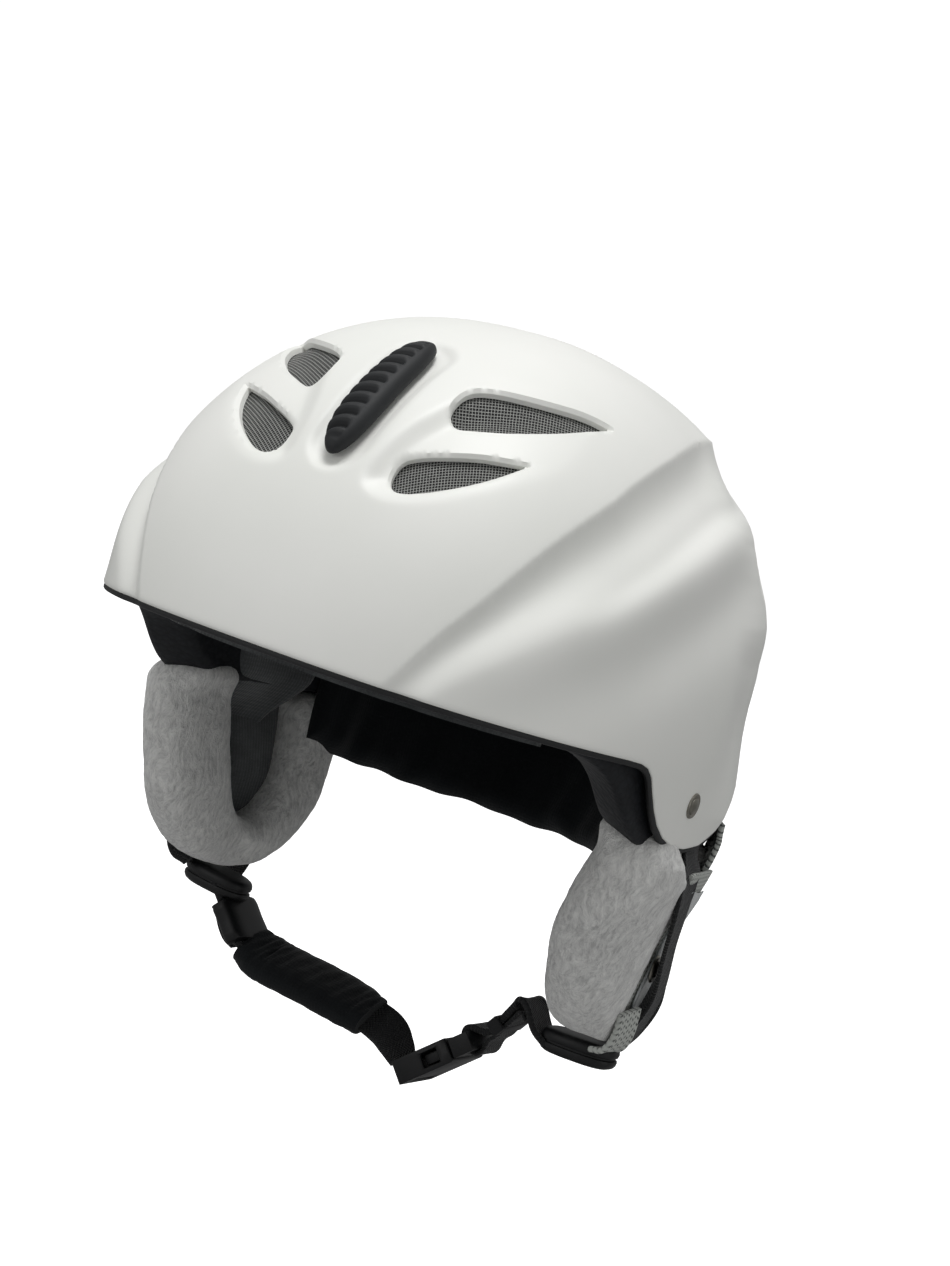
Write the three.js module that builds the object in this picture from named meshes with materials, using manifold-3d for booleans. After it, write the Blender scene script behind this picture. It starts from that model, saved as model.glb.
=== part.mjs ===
// Ski helmet with ear pads, chin harness and a sliding crown vent.
// Millimetres and degrees, +Z up, front of the helmet towards -Y, the wearer's left at +X.
// Shapes are laid out from the middle of the head opening, level with the brow rim. The finished
// group is then lowered so that its origin is the middle of the crown pad's flat face.
import * as THREE from 'three';
import Module from 'manifold-3d';
import { mergeVertices } from 'three/addons/utils/BufferGeometryUtils.js';

const wasm = await Module();
wasm.setup();

// ---------------------------------------------------------------- driving dimensions
const HALF_WIDTH = 106.25;      // half of the shell's width
const FRONT_LENGTH = 136;       // from the middle to the brow
const REAR_LENGTH = 140.67;     // from the middle to the back of the shell
const CROWN_HEIGHT = 130.98;    // from the shape centre to the crown
const CENTRE_Z = -3.14;         // height of the shape centre
const PLAN_EXP = 2.64;          // squareness of the plan view
const PLAN_EXP_REAR = 2.02;     // squareness of the rear sides below the crease
const SIDE_EXP = 2.21;          // squareness of the side view
const CREASE_BLEND = 9;         // degrees over which the rear sides change squareness
const SHELL_T = 3.0;            // shell wall
const LINER_OUT = 4.6;          // liner's outer face, below the shell's outer face
const LINER_IN = 23.5;          // liner's inner face, below the shell's outer face
const LINER_RIM_DROP = 31;      // how far the liner's ear lobes reach below the brow rim
const PAD_T = 5.5;              // comfort padding thickness
const CROWN_FACE_Z = 91;        // height of the crown pad's flat face above the brow rim
const WEB_W = 15;               // chin webbing
const WEB_T = 1.6;
const SIDE_WEB_T = 1.4;         // webbing beside the ears

// Segments of the shell round the opening and from crown to rim.
const SHELL_GRID = [60, 13];
const LINER_GRID = [48, 11];

const FINISH = {
  shell: { color: 0xe9eae4, roughness: 0.45 },
  foam: { color: 0x16181c, roughness: 0.9 },
  trim: { color: 0x101214, roughness: 0.6 },
  frontScreen: { color: 0x8b8f92, roughness: 0.6, metalness: 0.3 },
  rearScreen: { color: 0x55585a, roughness: 0.6, metalness: 0.3 },
  steel: { color: 0x8f8d84, roughness: 0.35, metalness: 0.9 },
  slider: { color: 0x17181a, roughness: 0.75 },
  carrier: { color: 0x2a2c2e, roughness: 0.6 },
  shutter: { color: 0x232527, roughness: 0.6 },
  browPad: { color: 0x8d8f90, roughness: 0.95 },
  padding: { color: 0x101214, roughness: 0.95 },
  retainerBase: { color: 0x1b1c1e, roughness: 0.5 },
  retainerStrap: { color: 0x1b1c1e, roughness: 0.6 },
  plush: { color: 0xb9b9b5, roughness: 0.95 },
  earMesh: { color: 0xb9bdb8, roughness: 0.85 },
  stiffener: { color: 0xdfe3e4, roughness: 0.3 },
  divider: { color: 0x101214, roughness: 0.45 },
  webbing: { color: 0x101214, roughness: 0.85 },
  adjuster: { color: 0x101214, roughness: 0.5 },
  buckle: { color: 0x141517, roughness: 0.4 },
  keeper: { color: 0x18191b, roughness: 0.7 },
};

// ---------------------------------------------------------------- small maths
const DEG = Math.PI / 180;
const vec = (x, y, z) => new THREE.Vector3(x, y, z);
const along = ([from, to], fraction) => from + (to - from) * fraction;
const signedPower = (value, power) => Math.sign(value) * Math.abs(value) ** power;
const curveThrough = vectors => new THREE.CatmullRomCurve3(vectors, false, 'centripetal');

// Linear interpolation in a table of [x, value], held level beyond its ends.
function lookUp(table, x) {
  if (x <= table[0][0]) return table[0][1];
  for (let i = 0; i + 1 < table.length; i++) {
    const [x0, value] = table[i], [x1, nextValue] = table[i + 1];
    if (x <= x1) return value + (x - x0) / (x1 - x0) * (nextValue - value);
  }
  return table[table.length - 1][1];
}

// Place between low, where the test holds, and high, where it stops holding.
function bisect(low, high, steps, holdsAt) {
  for (let i = 0; i < steps; i++) {
    const middle = (low + high) / 2;
    if (holdsAt(middle)) low = middle;
    else high = middle;
  }
  return low;
}

// One point per step round a full turn, from the cosine and sine of each angle.
const circle = (count, pointAt) => Array.from({ length: count }, (_, i) => {
  const angle = 2 * Math.PI * i / count;
  return pointAt(Math.cos(angle), Math.sin(angle));
});

// ---------------------------------------------------------------- shell surface
// A direction from the shape centre is (phi, polar): phi round from the brow towards the
// wearer's left, polar down from the crown. The crown map flattens these directions into
// (left, back), in degrees from the crown. Offsets are outwards from the shell's outer face.

// Upper and lower edges of the hollow on each side of the shell: [left, back] on the crown map.
const CREASE = [
  [29.7, -83.2], [31.2, -79.8], [32.1, -76.6], [34, -70.6], [35.6, -64.4], [37.1, -52.9],
  [37.8, -40.5], [37.2, -34], [36.2, -25.8], [34.1, -14.5], [29.9, -0.4], [24.2, 15.6],
  [15.5, 29], [0, 36],
];
const RIDGE = [
  [41.6, -73.3], [44.1, -68.7], [46.7, -62.9], [49, -56.7], [52.1, -46.4], [52.8, -32.4],
  [51.8, -19.5], [48.5, -4.4], [43, 15], [34, 33], [20, 47], [0, 52],
];
// Depth of that hollow: [back, depth].
const HOLLOW_DEPTH = [
  [-84, 0.4], [-70, 1.6], [-55, 3.2], [-40, 4.2], [-20, 4.8], [0, 4.6], [20, 4], [40, 3.2],
];
const HOLLOW_PEAK = 6.75; // brings the greatest value of x * (1 - x)^2 up to 1

// Heights of the rims round the opening: [phi, z], the same on both sides.
const SHELL_RIM = [
  [0, 0], [60, 0], [63.5, -0.6], [65.5, -3.5], [68, -10], [71, -16], [76.5, -22.8],
  [82, -26], [88, -26.2], [95, -25], [103, -20], [110, -12.5], [118, -5], [128, -6],
  [140, -17], [155, -28], [180, -32],
];
const LINER_RIM = [
  [0, -1.5], [44, -1.5], [50, -4], [55, -14], [60, -25], [65, -30], [75, -LINER_RIM_DROP],
  [105, -LINER_RIM_DROP], [120, -28], [140, -30], [160, -34], [180, -36],
];

// Distance from a line on the crown map, positive on the side away from the crown.
function lineDistance(line, left, back) {
  let nearest = 1e9, side = 1;
  for (let i = 0; i + 1 < line.length; i++) {
    const [startLeft, startBack] = line[i];
    const runLeft = line[i + 1][0] - startLeft, runBack = line[i + 1][1] - startBack;
    const toLeft = left - startLeft, toBack = back - startBack;
    const fraction = THREE.MathUtils.clamp(
      (toLeft * runLeft + toBack * runBack) / (runLeft * runLeft + runBack * runBack), 0, 1);
    const distance = Math.hypot(toLeft - fraction * runLeft, toBack - fraction * runBack);
    if (distance < nearest - 1e-9) {
      nearest = distance;
      side = runLeft * toBack - runBack * toLeft < 0 ? 1 : -1;
    }
  }
  return nearest * side;
}

// Radius of the plain superellipsoid in a unit direction.
function plainRadius({ x, y, z }, planExp) {
  const length = y < 0 ? FRONT_LENGTH : REAR_LENGTH;
  const plan = Math.abs(x / HALF_WIDTH) ** planExp + Math.abs(y / length) ** planExp;
  const sum = plan ** (SIDE_EXP / planExp) + Math.abs(z / CROWN_HEIGHT) ** SIDE_EXP;
  return sum ** (-1 / SIDE_EXP);
}

function direction(phi, polar) {
  const sine = Math.sin(polar * DEG);
  return vec(sine * Math.sin(phi * DEG), -sine * Math.cos(phi * DEG), Math.cos(polar * DEG));
}

function shellRadius(phi, polar) {
  const ray = direction(phi, polar);
  const left = Math.abs(polar * Math.sin(phi * DEG)), back = -polar * Math.cos(phi * DEG);
  let radius = plainRadius(ray, PLAN_EXP);
  const pastCrease = lineDistance(CREASE, left, back);
  if (pastCrease <= 0) return radius;
  if (ray.y > 0) {
    const blend = THREE.MathUtils.smoothstep(pastCrease, 0, CREASE_BLEND);
    radius += (plainRadius(ray, PLAN_EXP_REAR) - radius) * blend;
  }
  const pastRidge = lineDistance(RIDGE, left, back);
  if (pastRidge < 0) {
    const across = pastCrease / (pastCrease - pastRidge);
    radius -= lookUp(HOLLOW_DEPTH, back) * HOLLOW_PEAK * across * (1 - across) ** 2;
  }
  return radius;
}

function onShell(phi, polar, offset) {
  const point = direction(phi, polar).multiplyScalar(shellRadius(phi, polar) + offset);
  point.z += CENTRE_Z;
  return point;
}
const onMap = (left, back, offset) =>
  onShell(Math.atan2(left, -back) / DEG, Math.hypot(left, back), offset);

// Polar angle at which the surface comes down to height z in the direction phi.
const polarAt = (phi, z, offset) =>
  bisect(20, 150, 40, polar => onShell(phi, polar, offset).z > z);
const atHeight = (phi, z, offset) => onShell(phi, polarAt(phi, z, offset), offset);

const rimHeight = (rim, phi) => lookUp(rim, phi > 180 ? 360 - phi : phi);

// ---------------------------------------------------------------- mesh helpers
// Indexed geometry of a closed surface, turned to face outwards.
function closedMesh(points, faces) {
  let volume = 0;
  for (const [first, second, third] of faces)
    volume += points[first].dot(points[second].clone().cross(points[third]));
  const outward = volume < 0
    ? faces.map(([first, second, third]) => [first, third, second])
    : faces;
  return new THREE.BufferGeometry().setFromPoints(points).setIndex(outward.flat());
}

// Two triangles that share the diagonal from the first corner to the third.
const quad = ([first, second, third, fourth], flipped = false) => flipped
  ? [[first, third, second], [first, fourth, third]]
  : [[first, second, third], [first, third, fourth]];

// Closed dish between two offsets of the shell surface, from the crown down to a rim.
function dish([outer, inner], rim, [around, down], rimShift = 0) {
  const points = [], faces = [];
  function addSkin(offset) {
    const crown = points.push(onShell(0, 0.001, offset)) - 1;
    for (let j = 1; j <= down; j++)
      for (let i = 0; i < around; i++) {
        const phi = 360 * i / around;
        const rimPolar = polarAt(phi, rimHeight(rim, phi) + rimShift, offset);
        points.push(onShell(phi, rimPolar * (j / down), offset));
      }
    return crown;
  }
  const outerCrown = addSkin(outer), innerCrown = addSkin(inner);
  const corner = (crown, j, i) => j === 0 ? crown : crown + 1 + (j - 1) * around + i % around;
  for (const crown of [outerCrown, innerCrown])
    for (let j = 0; j < down; j++)
      for (let i = 0; i < around; i++) {
        const corners = [[j, i], [j + 1, i], [j + 1, i + 1], [j, i + 1]];
        const pair = quad(corners.map(place => corner(crown, ...place)), crown === innerCrown);
        faces.push(...pair.slice(0, j === 0 ? 1 : 2)); // single triangles meet at the crown
      }
  for (let i = 0; i < around; i++)
    faces.push(...quad([
      corner(outerCrown, down, i), corner(innerCrown, down, i),
      corner(innerCrown, down, i + 1), corner(outerCrown, down, i + 1),
    ]));
  return closedMesh(points, faces);
}

// Closed slab between two grids of points; top and bottom take fractions of each grid side.
function slab(columns, rows, top, bottom) {
  const points = [], faces = [], border = [];
  for (const pointAt of [top, bottom])
    for (let i = 0; i <= columns; i++)
      for (let j = 0; j <= rows; j++) points.push(pointAt(i / columns, j / rows));
  const below = (columns + 1) * (rows + 1);
  const corner = (i, j) => i * (rows + 1) + j;
  for (let i = 0; i < columns; i++)
    for (let j = 0; j < rows; j++) {
      const cell = [corner(i, j), corner(i + 1, j), corner(i + 1, j + 1), corner(i, j + 1)];
      faces.push(...quad(cell), ...quad(cell.map(index => index + below), true));
    }
  for (let i = 0; i < columns; i++) border.push(corner(i, 0));
  for (let j = 0; j < rows; j++) border.push(corner(columns, j));
  for (let i = columns; i > 0; i--) border.push(corner(i, rows));
  for (let j = rows; j > 0; j--) border.push(corner(0, j));
  border.forEach((here, k) => {
    const next = border[(k + 1) % border.length];
    faces.push(...quad([here, here + below, next + below, next]));
  });
  return closedMesh(points, faces);
}

// Slab over a rectangle of the crown map, between two offsets.
const patch = (leftSpan, backSpan, offsets, grid) =>
  slab(...grid, ...offsets.map(offset => (across, down) =>
    onMap(along(leftSpan, across), along(backSpan, down), offset)));

// Slab inside the helmet; heightsAt gives the lowest and highest z along the phi span.
const band = (phiSpan, heightsAt, offsets, grid) =>
  slab(...grid, ...offsets.map(offset => (across, up) =>
    atHeight(along(phiSpan, across), along(heightsAt(across), up), offset)));

// Closed loft through rings of equal length, joined end to end when it is a loop.
function loft(rings, loop = false) {
  const points = rings.flat(), faces = [], count = rings[0].length;
  const spans = loop ? rings.length : rings.length - 1;
  for (let k = 0; k < spans; k++)
    for (let i = 0; i < count; i++) {
      const here = k * count, there = (k + 1) % rings.length * count, next = (i + 1) % count;
      faces.push(...quad([here + i, here + next, there + next, there + i]));
    }
  if (loop) return closedMesh(points, faces);
  for (const k of [0, rings.length - 1]) {
    const centre = vec(0, 0, 0);
    for (const point of rings[k]) centre.add(point);
    const middle = points.push(centre.multiplyScalar(1 / count)) - 1;
    for (let i = 0; i < count; i++) {
      const here = k * count + i, next = k * count + (i + 1) % count;
      faces.push(k === 0 ? [next, here, middle] : [here, next, middle]);
    }
  }
  return closedMesh(points, faces);
}

const SQUARE = [[-1, -1], [1, -1], [1, 1], [-1, 1]];

// Flat webbing along points, with a width direction at each point.
function webbing(points, widthDirections, width, thickness, steps) {
  const path = curveThrough(points.map(point => vec(...point)));
  const widthCurve = curveThrough(widthDirections.map(way => vec(...way).normalize()));
  const rings = [];
  for (let i = 0; i <= steps; i++) {
    const centre = path.getPoint(i / steps), forward = path.getTangent(i / steps);
    const wide = widthCurve.getPoint(i / steps);
    wide.addScaledVector(forward, -wide.dot(forward)).normalize();
    const thick = forward.clone().cross(wide).normalize();
    rings.push(SQUARE.map(([x, y]) => centre.clone()
      .addScaledVector(wide, x * width / 2)
      .addScaledVector(thick, y * thickness / 2)));
  }
  return loft(rings);
}

// Soft roll with a superelliptic section at each station.
const ROLL_SIDES = 12;
function roll(stations, exponent) {
  return loft(stations.map(({ centre, side, deep, halfSide, halfDeep }) =>
    circle(ROLL_SIDES, (cosine, sine) => centre.clone()
      .addScaledVector(side, signedPower(cosine, 2 / exponent) * halfSide)
      .addScaledVector(deep, signedPower(sine, 2 / exponent) * halfDeep))));
}

function solid(geometry) {
  const bare = geometry.clone();
  for (const key of Object.keys(bare.attributes))
    if (key !== 'position') bare.deleteAttribute(key);
  const merged = mergeVertices(bare, 1e-4);
  return new wasm.Manifold(new wasm.Mesh({
    numProp: 3,
    vertProperties: new Float32Array(merged.attributes.position.array),
    triVerts: new Uint32Array(merged.index.array),
  }));
}
function geometryOf(manifold) {
  const mesh = manifold.getMesh(), geometry = new THREE.BufferGeometry();
  const vertices = new Float32Array(mesh.vertProperties);
  geometry.setAttribute('position', new THREE.BufferAttribute(vertices, 3));
  return geometry.setIndex(new THREE.BufferAttribute(new Uint32Array(mesh.triVerts), 1));
}
// Geometry of the biggest separate piece; scraps left by the cuts are dropped.
const largestOf = manifold =>
  geometryOf(manifold.decompose().sort((one, other) => other.volume() - one.volume())[0]);

const block = (size, centre = [0, 0, 0]) =>
  solid(new THREE.BoxGeometry(...size).translate(...centre));

const subtractPair = (body, leftTool) =>
  body.subtract(leftTool).subtract(leftTool.mirror([1, 0, 0]));

function mirrored(geometry) {
  const copy = geometry.clone().applyMatrix4(new THREE.Matrix4().makeScale(-1, 1, 1));
  const index = copy.index.array;
  for (let i = 0; i < index.length; i += 3)
    [index[i + 1], index[i + 2]] = [index[i + 2], index[i + 1]];
  return copy;
}

const group = new THREE.Group();
function addPart(name, geometry, finish) {
  const mesh = new THREE.Mesh(geometry, new THREE.MeshStandardMaterial(finish));
  mesh.name = name;
  group.add(mesh);
}
function addSides(name, leftGeometry, finish) {
  addPart(`${name}_left`, leftGeometry, finish);
  addPart(`${name}_right`, mirrored(leftGeometry), finish);
}

// ---------------------------------------------------------------- vents
// Left-hand vent outlines: [left, back] on the crown map.
const LOWER_VENT = [
  [10.3, -58.5], [10.8, -61.5], [12.6, -62.8], [17.5, -60.6], [21.7, -56.6], [24.5, -52.3],
  [26, -48.3], [23.2, -50.3], [20, -52.2], [16.6, -54.4], [11.4, -57],
];
const UPPER_VENT = [
  [11.3, -45.3], [11.5, -48.3], [13.2, -49.6], [15.4, -48.9], [20.2, -45.8], [24.6, -40.4],
  [27.1, -35.1], [28.2, -30.8], [25.5, -33], [21.6, -36.9], [18.4, -39.3], [15, -41.3],
  [12, -43.3],
];
const REAR_VENT = [[38.5, 24], [43.5, 21.5], [45.5, 24.5], [41.5, 29], [38, 29.5]];
// Slot for the slider's stem.
const SLOT = [[-1.5, -54.5], [1.5, -54.5], [1.5, -42.5], [-1.5, -42.5]];
const FRONT_VENTS = [LOWER_VENT, UPPER_VENT];

const SHELL_CUT_FROM = 100;   // radii at which the vent cuts start
const CHANNEL_FROM = 60;
const REAR_POCKET_FROM = 112;
const CUT_TO = 170;           // radius at which every vent cut ends

// Prism that runs out from the shape centre through an outline on the crown map.
function rayPrism(outline, startRadius) {
  const flat = outline.map(place => new THREE.Vector2(...place));
  const points = [], faces = [], count = flat.length;
  for (const radius of [startRadius, CUT_TO])
    for (const { x, y } of flat) {
      const polar = Math.hypot(x, y), scale = Math.sin(polar * DEG) / polar;
      const height = CENTRE_Z + Math.cos(polar * DEG) * radius;
      points.push(vec(x * scale * radius, y * scale * radius, height));
    }
  for (const [first, second, third] of THREE.ShapeUtils.triangulateShape(flat, []))
    faces.push([first, second, third], [first + count, third + count, second + count]);
  for (let i = 0; i < count; i++) {
    const next = (i + 1) % count;
    faces.push(...quad([i, i + count, next + count, next]));
  }
  return solid(closedMesh(points, faces));
}

// Moves each point of an outline away from the outline's middle.
function grow(outline, distance) {
  const mean = axis => outline.reduce((sum, place) => sum + place[axis], 0) / outline.length;
  const middleX = mean(0), middleY = mean(1);
  return outline.map(([x, y]) => {
    const length = Math.hypot(x - middleX, y - middleY);
    return [x + (x - middleX) / length * distance, y + (y - middleY) / length * distance];
  });
}

// Cuts vents through both sides of a body, each outline grown by some degrees.
const cutVents = (body, outlines, growth, startRadius) => outlines.reduce(
  (rest, outline) => subtractPair(rest, rayPrism(grow(outline, growth), startRadius)), body);

// Screens behind the vents, on the wearer's left: spans on the crown map.
const FRONT_SCREENS = [
  { name: 'lower', left: [8.5, 27.2], back: [-65, -47.6] },
  { name: 'upper', left: [9.5, 30], back: [-47, -29] },
];
function addScreens() {
  for (const { name, left, back } of FRONT_SCREENS) {
    const screen = patch(left, back, [-8.7, -9.3], [4, 4]);
    addSides(`${name}_vent_screen`, screen, FINISH.frontScreen);
  }
  const rear = patch([38.2, 44.4], [22.6, 28.6], [-6, -6.8], [2, 2]);
  addSides('rear_vent_screen', rear, FINISH.rearScreen);
}

// ---------------------------------------------------------------- strap rivets
const RIVET_PHI = 84, RIVET_Z = -10.5;
const RIVET_SIDES = 14;
const NORMAL_STEP = 0.5; // degrees either side of the rivet when finding the surface normal
// Turned profiles along the surface normal: [radius, offset].
const RIVET = [[2.2, -3.6], [2.2, 0.3], [4.0, 0.35], [3.7, 1.0], [2.4, 1.5]];
const RIVET_HOLE = [[2.5, -12], [2.5, 6]];
const RIVET_POCKET = [[4.6, -8], [4.6, 0]];

function turnedAtRivet(profile) {
  const polar = polarAt(RIVET_PHI, RIVET_Z, 0), centre = onShell(RIVET_PHI, polar, 0);
  const near = (phiStep, polarStep) => onShell(RIVET_PHI + phiStep, polar + polarStep, 0);
  const down = near(0, NORMAL_STEP).sub(near(0, -NORMAL_STEP));
  const round = near(NORMAL_STEP, 0).sub(near(-NORMAL_STEP, 0));
  const normal = down.cross(round).normalize();
  const level = vec(0, 0, 1).cross(normal).normalize(), upright = normal.clone().cross(level);
  return loft(profile.map(([radius, offset]) =>
    circle(RIVET_SIDES, (cosine, sine) => centre.clone().addScaledVector(normal, offset)
      .addScaledVector(level, radius * cosine)
      .addScaledVector(upright, radius * sine))));
}

// ---------------------------------------------------------------- shell, liner and trim
// Flat seat at the back of the shell for the goggle-strap retainer.
const SEAT_Z = 22;
const SEAT_Y = atHeight(180, SEAT_Z, 0).y - 1.2;
const SEAT_CUT = [40, 20, 30];
const LINER_SEAT_CUT = [46, 20, 36];
const LINER_SEAT_DEPTH = 3.4; // liner cut, in front of the shell's seat

function outerShell() {
  let shell = solid(dish([0, -SHELL_T], SHELL_RIM, SHELL_GRID));
  shell = cutVents(shell, [...FRONT_VENTS, REAR_VENT], 0, SHELL_CUT_FROM);
  shell = shell.subtract(rayPrism(SLOT, SHELL_CUT_FROM));
  shell = subtractPair(shell, solid(turnedAtRivet(RIVET_HOLE)));
  shell = shell.subtract(block(SEAT_CUT, [0, SEAT_Y + SEAT_CUT[1] / 2, SEAT_Z]));
  return largestOf(shell);
}

function foamLiner() {
  const shellRoom = dish([4, -SHELL_T - 0.5], SHELL_RIM, SHELL_GRID, -0.6);
  // Pocket under the shell for the shutter, carrier and screens.
  const pocket = patch([-32.5, 32.5], [-67, -18], [8, -9.9], [10, 8]);
  let liner = solid(dish([-LINER_OUT, -LINER_IN], LINER_RIM, LINER_GRID))
    .subtract(solid(shellRoom))
    .subtract(solid(pocket));
  // Air channels through the foam, then pockets round the rear vents.
  liner = cutVents(liner, FRONT_VENTS, -1.2, CHANNEL_FROM);
  liner = cutVents(liner, [REAR_VENT], 5, REAR_POCKET_FROM);
  liner = subtractPair(liner, solid(turnedAtRivet(RIVET_POCKET)));
  const seatY = SEAT_Y - LINER_SEAT_DEPTH + LINER_SEAT_CUT[1] / 2;
  return largestOf(liner.subtract(block(LINER_SEAT_CUT, [0, seatY, SEAT_Z])));
}

// Black trim just inside the shell's rim and hanging below it: [offset, height from the rim].
const TRIM_SECTION = [[-0.5, -0.35], [-2.9, -0.35], [-2.9, -2.3], [-0.5, -2.3]];
function edgeTrim() {
  const rings = [], count = 60;
  for (let i = 0; i < count; i++) {
    const phi = 360 * i / count, rimZ = rimHeight(SHELL_RIM, phi);
    rings.push(TRIM_SECTION.map(([offset, rise]) => atHeight(phi, rimZ + rise, offset)));
  }
  return loft(rings, true);
}

// ---------------------------------------------------------------- vent slider
const SLIDER_W = 15;
const SLIDER_BACK = [-62, -37.5];  // span on the crown map
const SLIDER_H = 4.6;
const SLIDER_LIFT = 0.5;           // underside of the button above the shell
const SLIDER_STEPS = 14;
// Cross-section of the button: [part of its half-width, part of its height].
const SLIDER_SECTION = [
  [-1, 0], [-0.98, 0.3], [-0.8, 0.68], [-0.45, 0.92], [0, 1],
  [0.45, 0.92], [0.8, 0.68], [0.98, 0.3], [1, 0],
];

function ventSlider() {
  const rings = [];
  for (let i = 0; i <= SLIDER_STEPS; i++) {
    const fraction = i / SLIDER_STEPS, back = along(SLIDER_BACK, fraction);
    const fromMiddle = Math.abs(fraction - 0.5);
    const endRound = Math.max(0, (fromMiddle - 0.36) / 0.14);
    const halfWidth = SLIDER_W / 2 * Math.sqrt(Math.max(0.06, 1 - endRound * endRound));
    const height = SLIDER_H * Math.sqrt(Math.max(0.08, 1 - (fromMiddle * 2) ** 5));
    const foot = onMap(0, back, SLIDER_LIFT);
    const up = onMap(0, back, 10).sub(onMap(0, back, 0)).normalize();
    rings.push(SLIDER_SECTION.map(([x, y]) =>
      foot.clone().addScaledVector(up, y * height).add(vec(x * halfWidth, 0, 0))));
  }
  return loft(rings);
}

// Plate under the shell with a stem up through the slot.
function sliderCarrier() {
  const plate = patch([-7, 7], [-57, -43], [-4.6, -5.3], [4, 4]);
  const stem = patch([-1.05, 1.05], [-53.9, -49.6], [0.25, -5.0], [1, 1]);
  return geometryOf(solid(plate).add(solid(stem)));
}

function ventShutter() {
  const sheet = patch([-29.5, 29.5], [-66, -27], [-5.8, -6.8], [12, 8]);
  return largestOf(cutVents(solid(sheet), FRONT_VENTS, 1.3, SHELL_CUT_FROM));
}

// ---------------------------------------------------------------- comfort lining
const PAD_OUT = -(LINER_IN + 0.9), PAD_IN = PAD_OUT - PAD_T;
const NAPE_EXTRA_T = 2;
const CROWN_PAD = { halfWidth: 34, halfLength: 42, sides: 18, gap: 1.2 };

// Level lower edge with an arched upper edge.
const arched = (low, high) => across =>
  [low, low + (high - low) * (0.35 + 0.65 * Math.sin(Math.PI * across) ** 0.6)];
const napeHeights = across => [-50 + 8 * (2 * Math.abs(across - 0.5)) ** 3, -4];

// Domed on top to follow the liner, with a flat face below.
function crownPad() {
  const { halfWidth, halfLength, sides, gap } = CROWN_PAD;
  const ring = (scale, heightAt) => circle(sides, (cosine, sine) => {
    const x = halfWidth * scale * cosine, y = halfLength * scale * sine;
    return vec(x, y, heightAt(x, y));
  });
  const underLiner = (x, y) => bisect(60, 110, 30, z => {
    const ray = vec(x, y, z - CENTRE_Z), length = ray.length();
    const polar = Math.acos(ray.z / length) / DEG, phi = Math.atan2(x, -y) / DEG;
    return length < shellRadius(phi, polar) - LINER_IN - gap;
  });
  const domed = [0.35, 0.7, 1].map(scale => ring(scale, underLiner));
  return loft([...domed, ring(0.97, () => CROWN_FACE_Z)]);
}

function addLining() {
  const offsets = [PAD_OUT, PAD_IN];
  addPart('brow_pad', band([-46, 46], arched(-8, 21), offsets, [16, 3]), FINISH.browPad);
  addSides('temple_pad', band([53, 104], arched(-22, 18), offsets, [10, 3]), FINISH.padding);
  const nape = band([118, 242], napeHeights, [PAD_OUT, PAD_IN - NAPE_EXTRA_T], [20, 4]);
  addPart('nape_pad', nape, FINISH.padding);
  addPart('crown_pad', crownPad(), FINISH.padding);
}

// ---------------------------------------------------------------- goggle-strap retainer
// Depth spans are distances behind the retainer's foot.
const RETAINER_Y = SEAT_Y + 0.3;
const STUD_Z = SEAT_Z - 6.5;

// Upright plate with rounded corners.
function roundedPlate(width, height, corner, [from, to], z) {
  const shape = new THREE.Shape(), x = width / 2, y = height / 2;
  shape.moveTo(-x + corner, -y);
  shape.lineTo(x - corner, -y);
  shape.quadraticCurveTo(x, -y, x, -y + corner);
  shape.lineTo(x, y - corner);
  shape.quadraticCurveTo(x, y, x - corner, y);
  shape.lineTo(-x + corner, y);
  shape.quadraticCurveTo(-x, y, -x, y - corner);
  shape.lineTo(-x, -y + corner);
  shape.quadraticCurveTo(-x, -y, -x + corner, -y);
  const options = { depth: to - from, bevelEnabled: false, curveSegments: 4 };
  // The turn runs the depth towards -Y, so the plate is placed by its rear face.
  return solid(new THREE.ExtrudeGeometry(shape, options).rotateX(Math.PI / 2)
    .translate(0, RETAINER_Y + to, z));
}
const studDisc = (radius, [from, to]) =>
  solid(new THREE.CylinderGeometry(radius, radius, to - from, 16)
    .translate(0, RETAINER_Y + (from + to) / 2, STUD_Z));

function addRetainer() {
  const base = roundedPlate(30, 24, 3, [0, 1.6], SEAT_Z).add(studDisc(3.2, [1.5, 3.9]));
  addPart('retainer_base', geometryOf(base), FINISH.retainerBase);
  const lug = block([20, 2.6, 6], [0, RETAINER_Y + 3.4, SEAT_Z + 19.2]);
  const strap = roundedPlate(20, 40, 4, [4.6, 6.4], SEAT_Z + 2.5)
    .add(lug)
    .subtract(studDisc(3.5, [2, 8]));
  addPart('retainer_strap', largestOf(strap), FINISH.retainerStrap);
  const snap = studDisc(5, [6.8, 8.2]).add(studDisc(3.1, [4.2, 7.2]));
  addPart('retainer_snap', geometryOf(snap), FINISH.steel);
}

// ---------------------------------------------------------------- ear flaps
const FLAP_X = 108.6;
const FOLD_Z = -31;             // fold line at the top of the flap
const BEND_Z = -60;             // below this the flap leans less
const UPPER_LEAN = 0.34, LOWER_LEAN = 0.1;
const CURVE_FROM_Y = -15;       // behind this the flap curves round the head
const FLAP_CURVE = 0.0022;
const FLAP_TOP_Z = -32.8;
const FLAP_MIDDLE = [27, -60];  // y, z about which the outline is scaled
const SNAP_Y = 20, SNAP_Z = -71;
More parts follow.
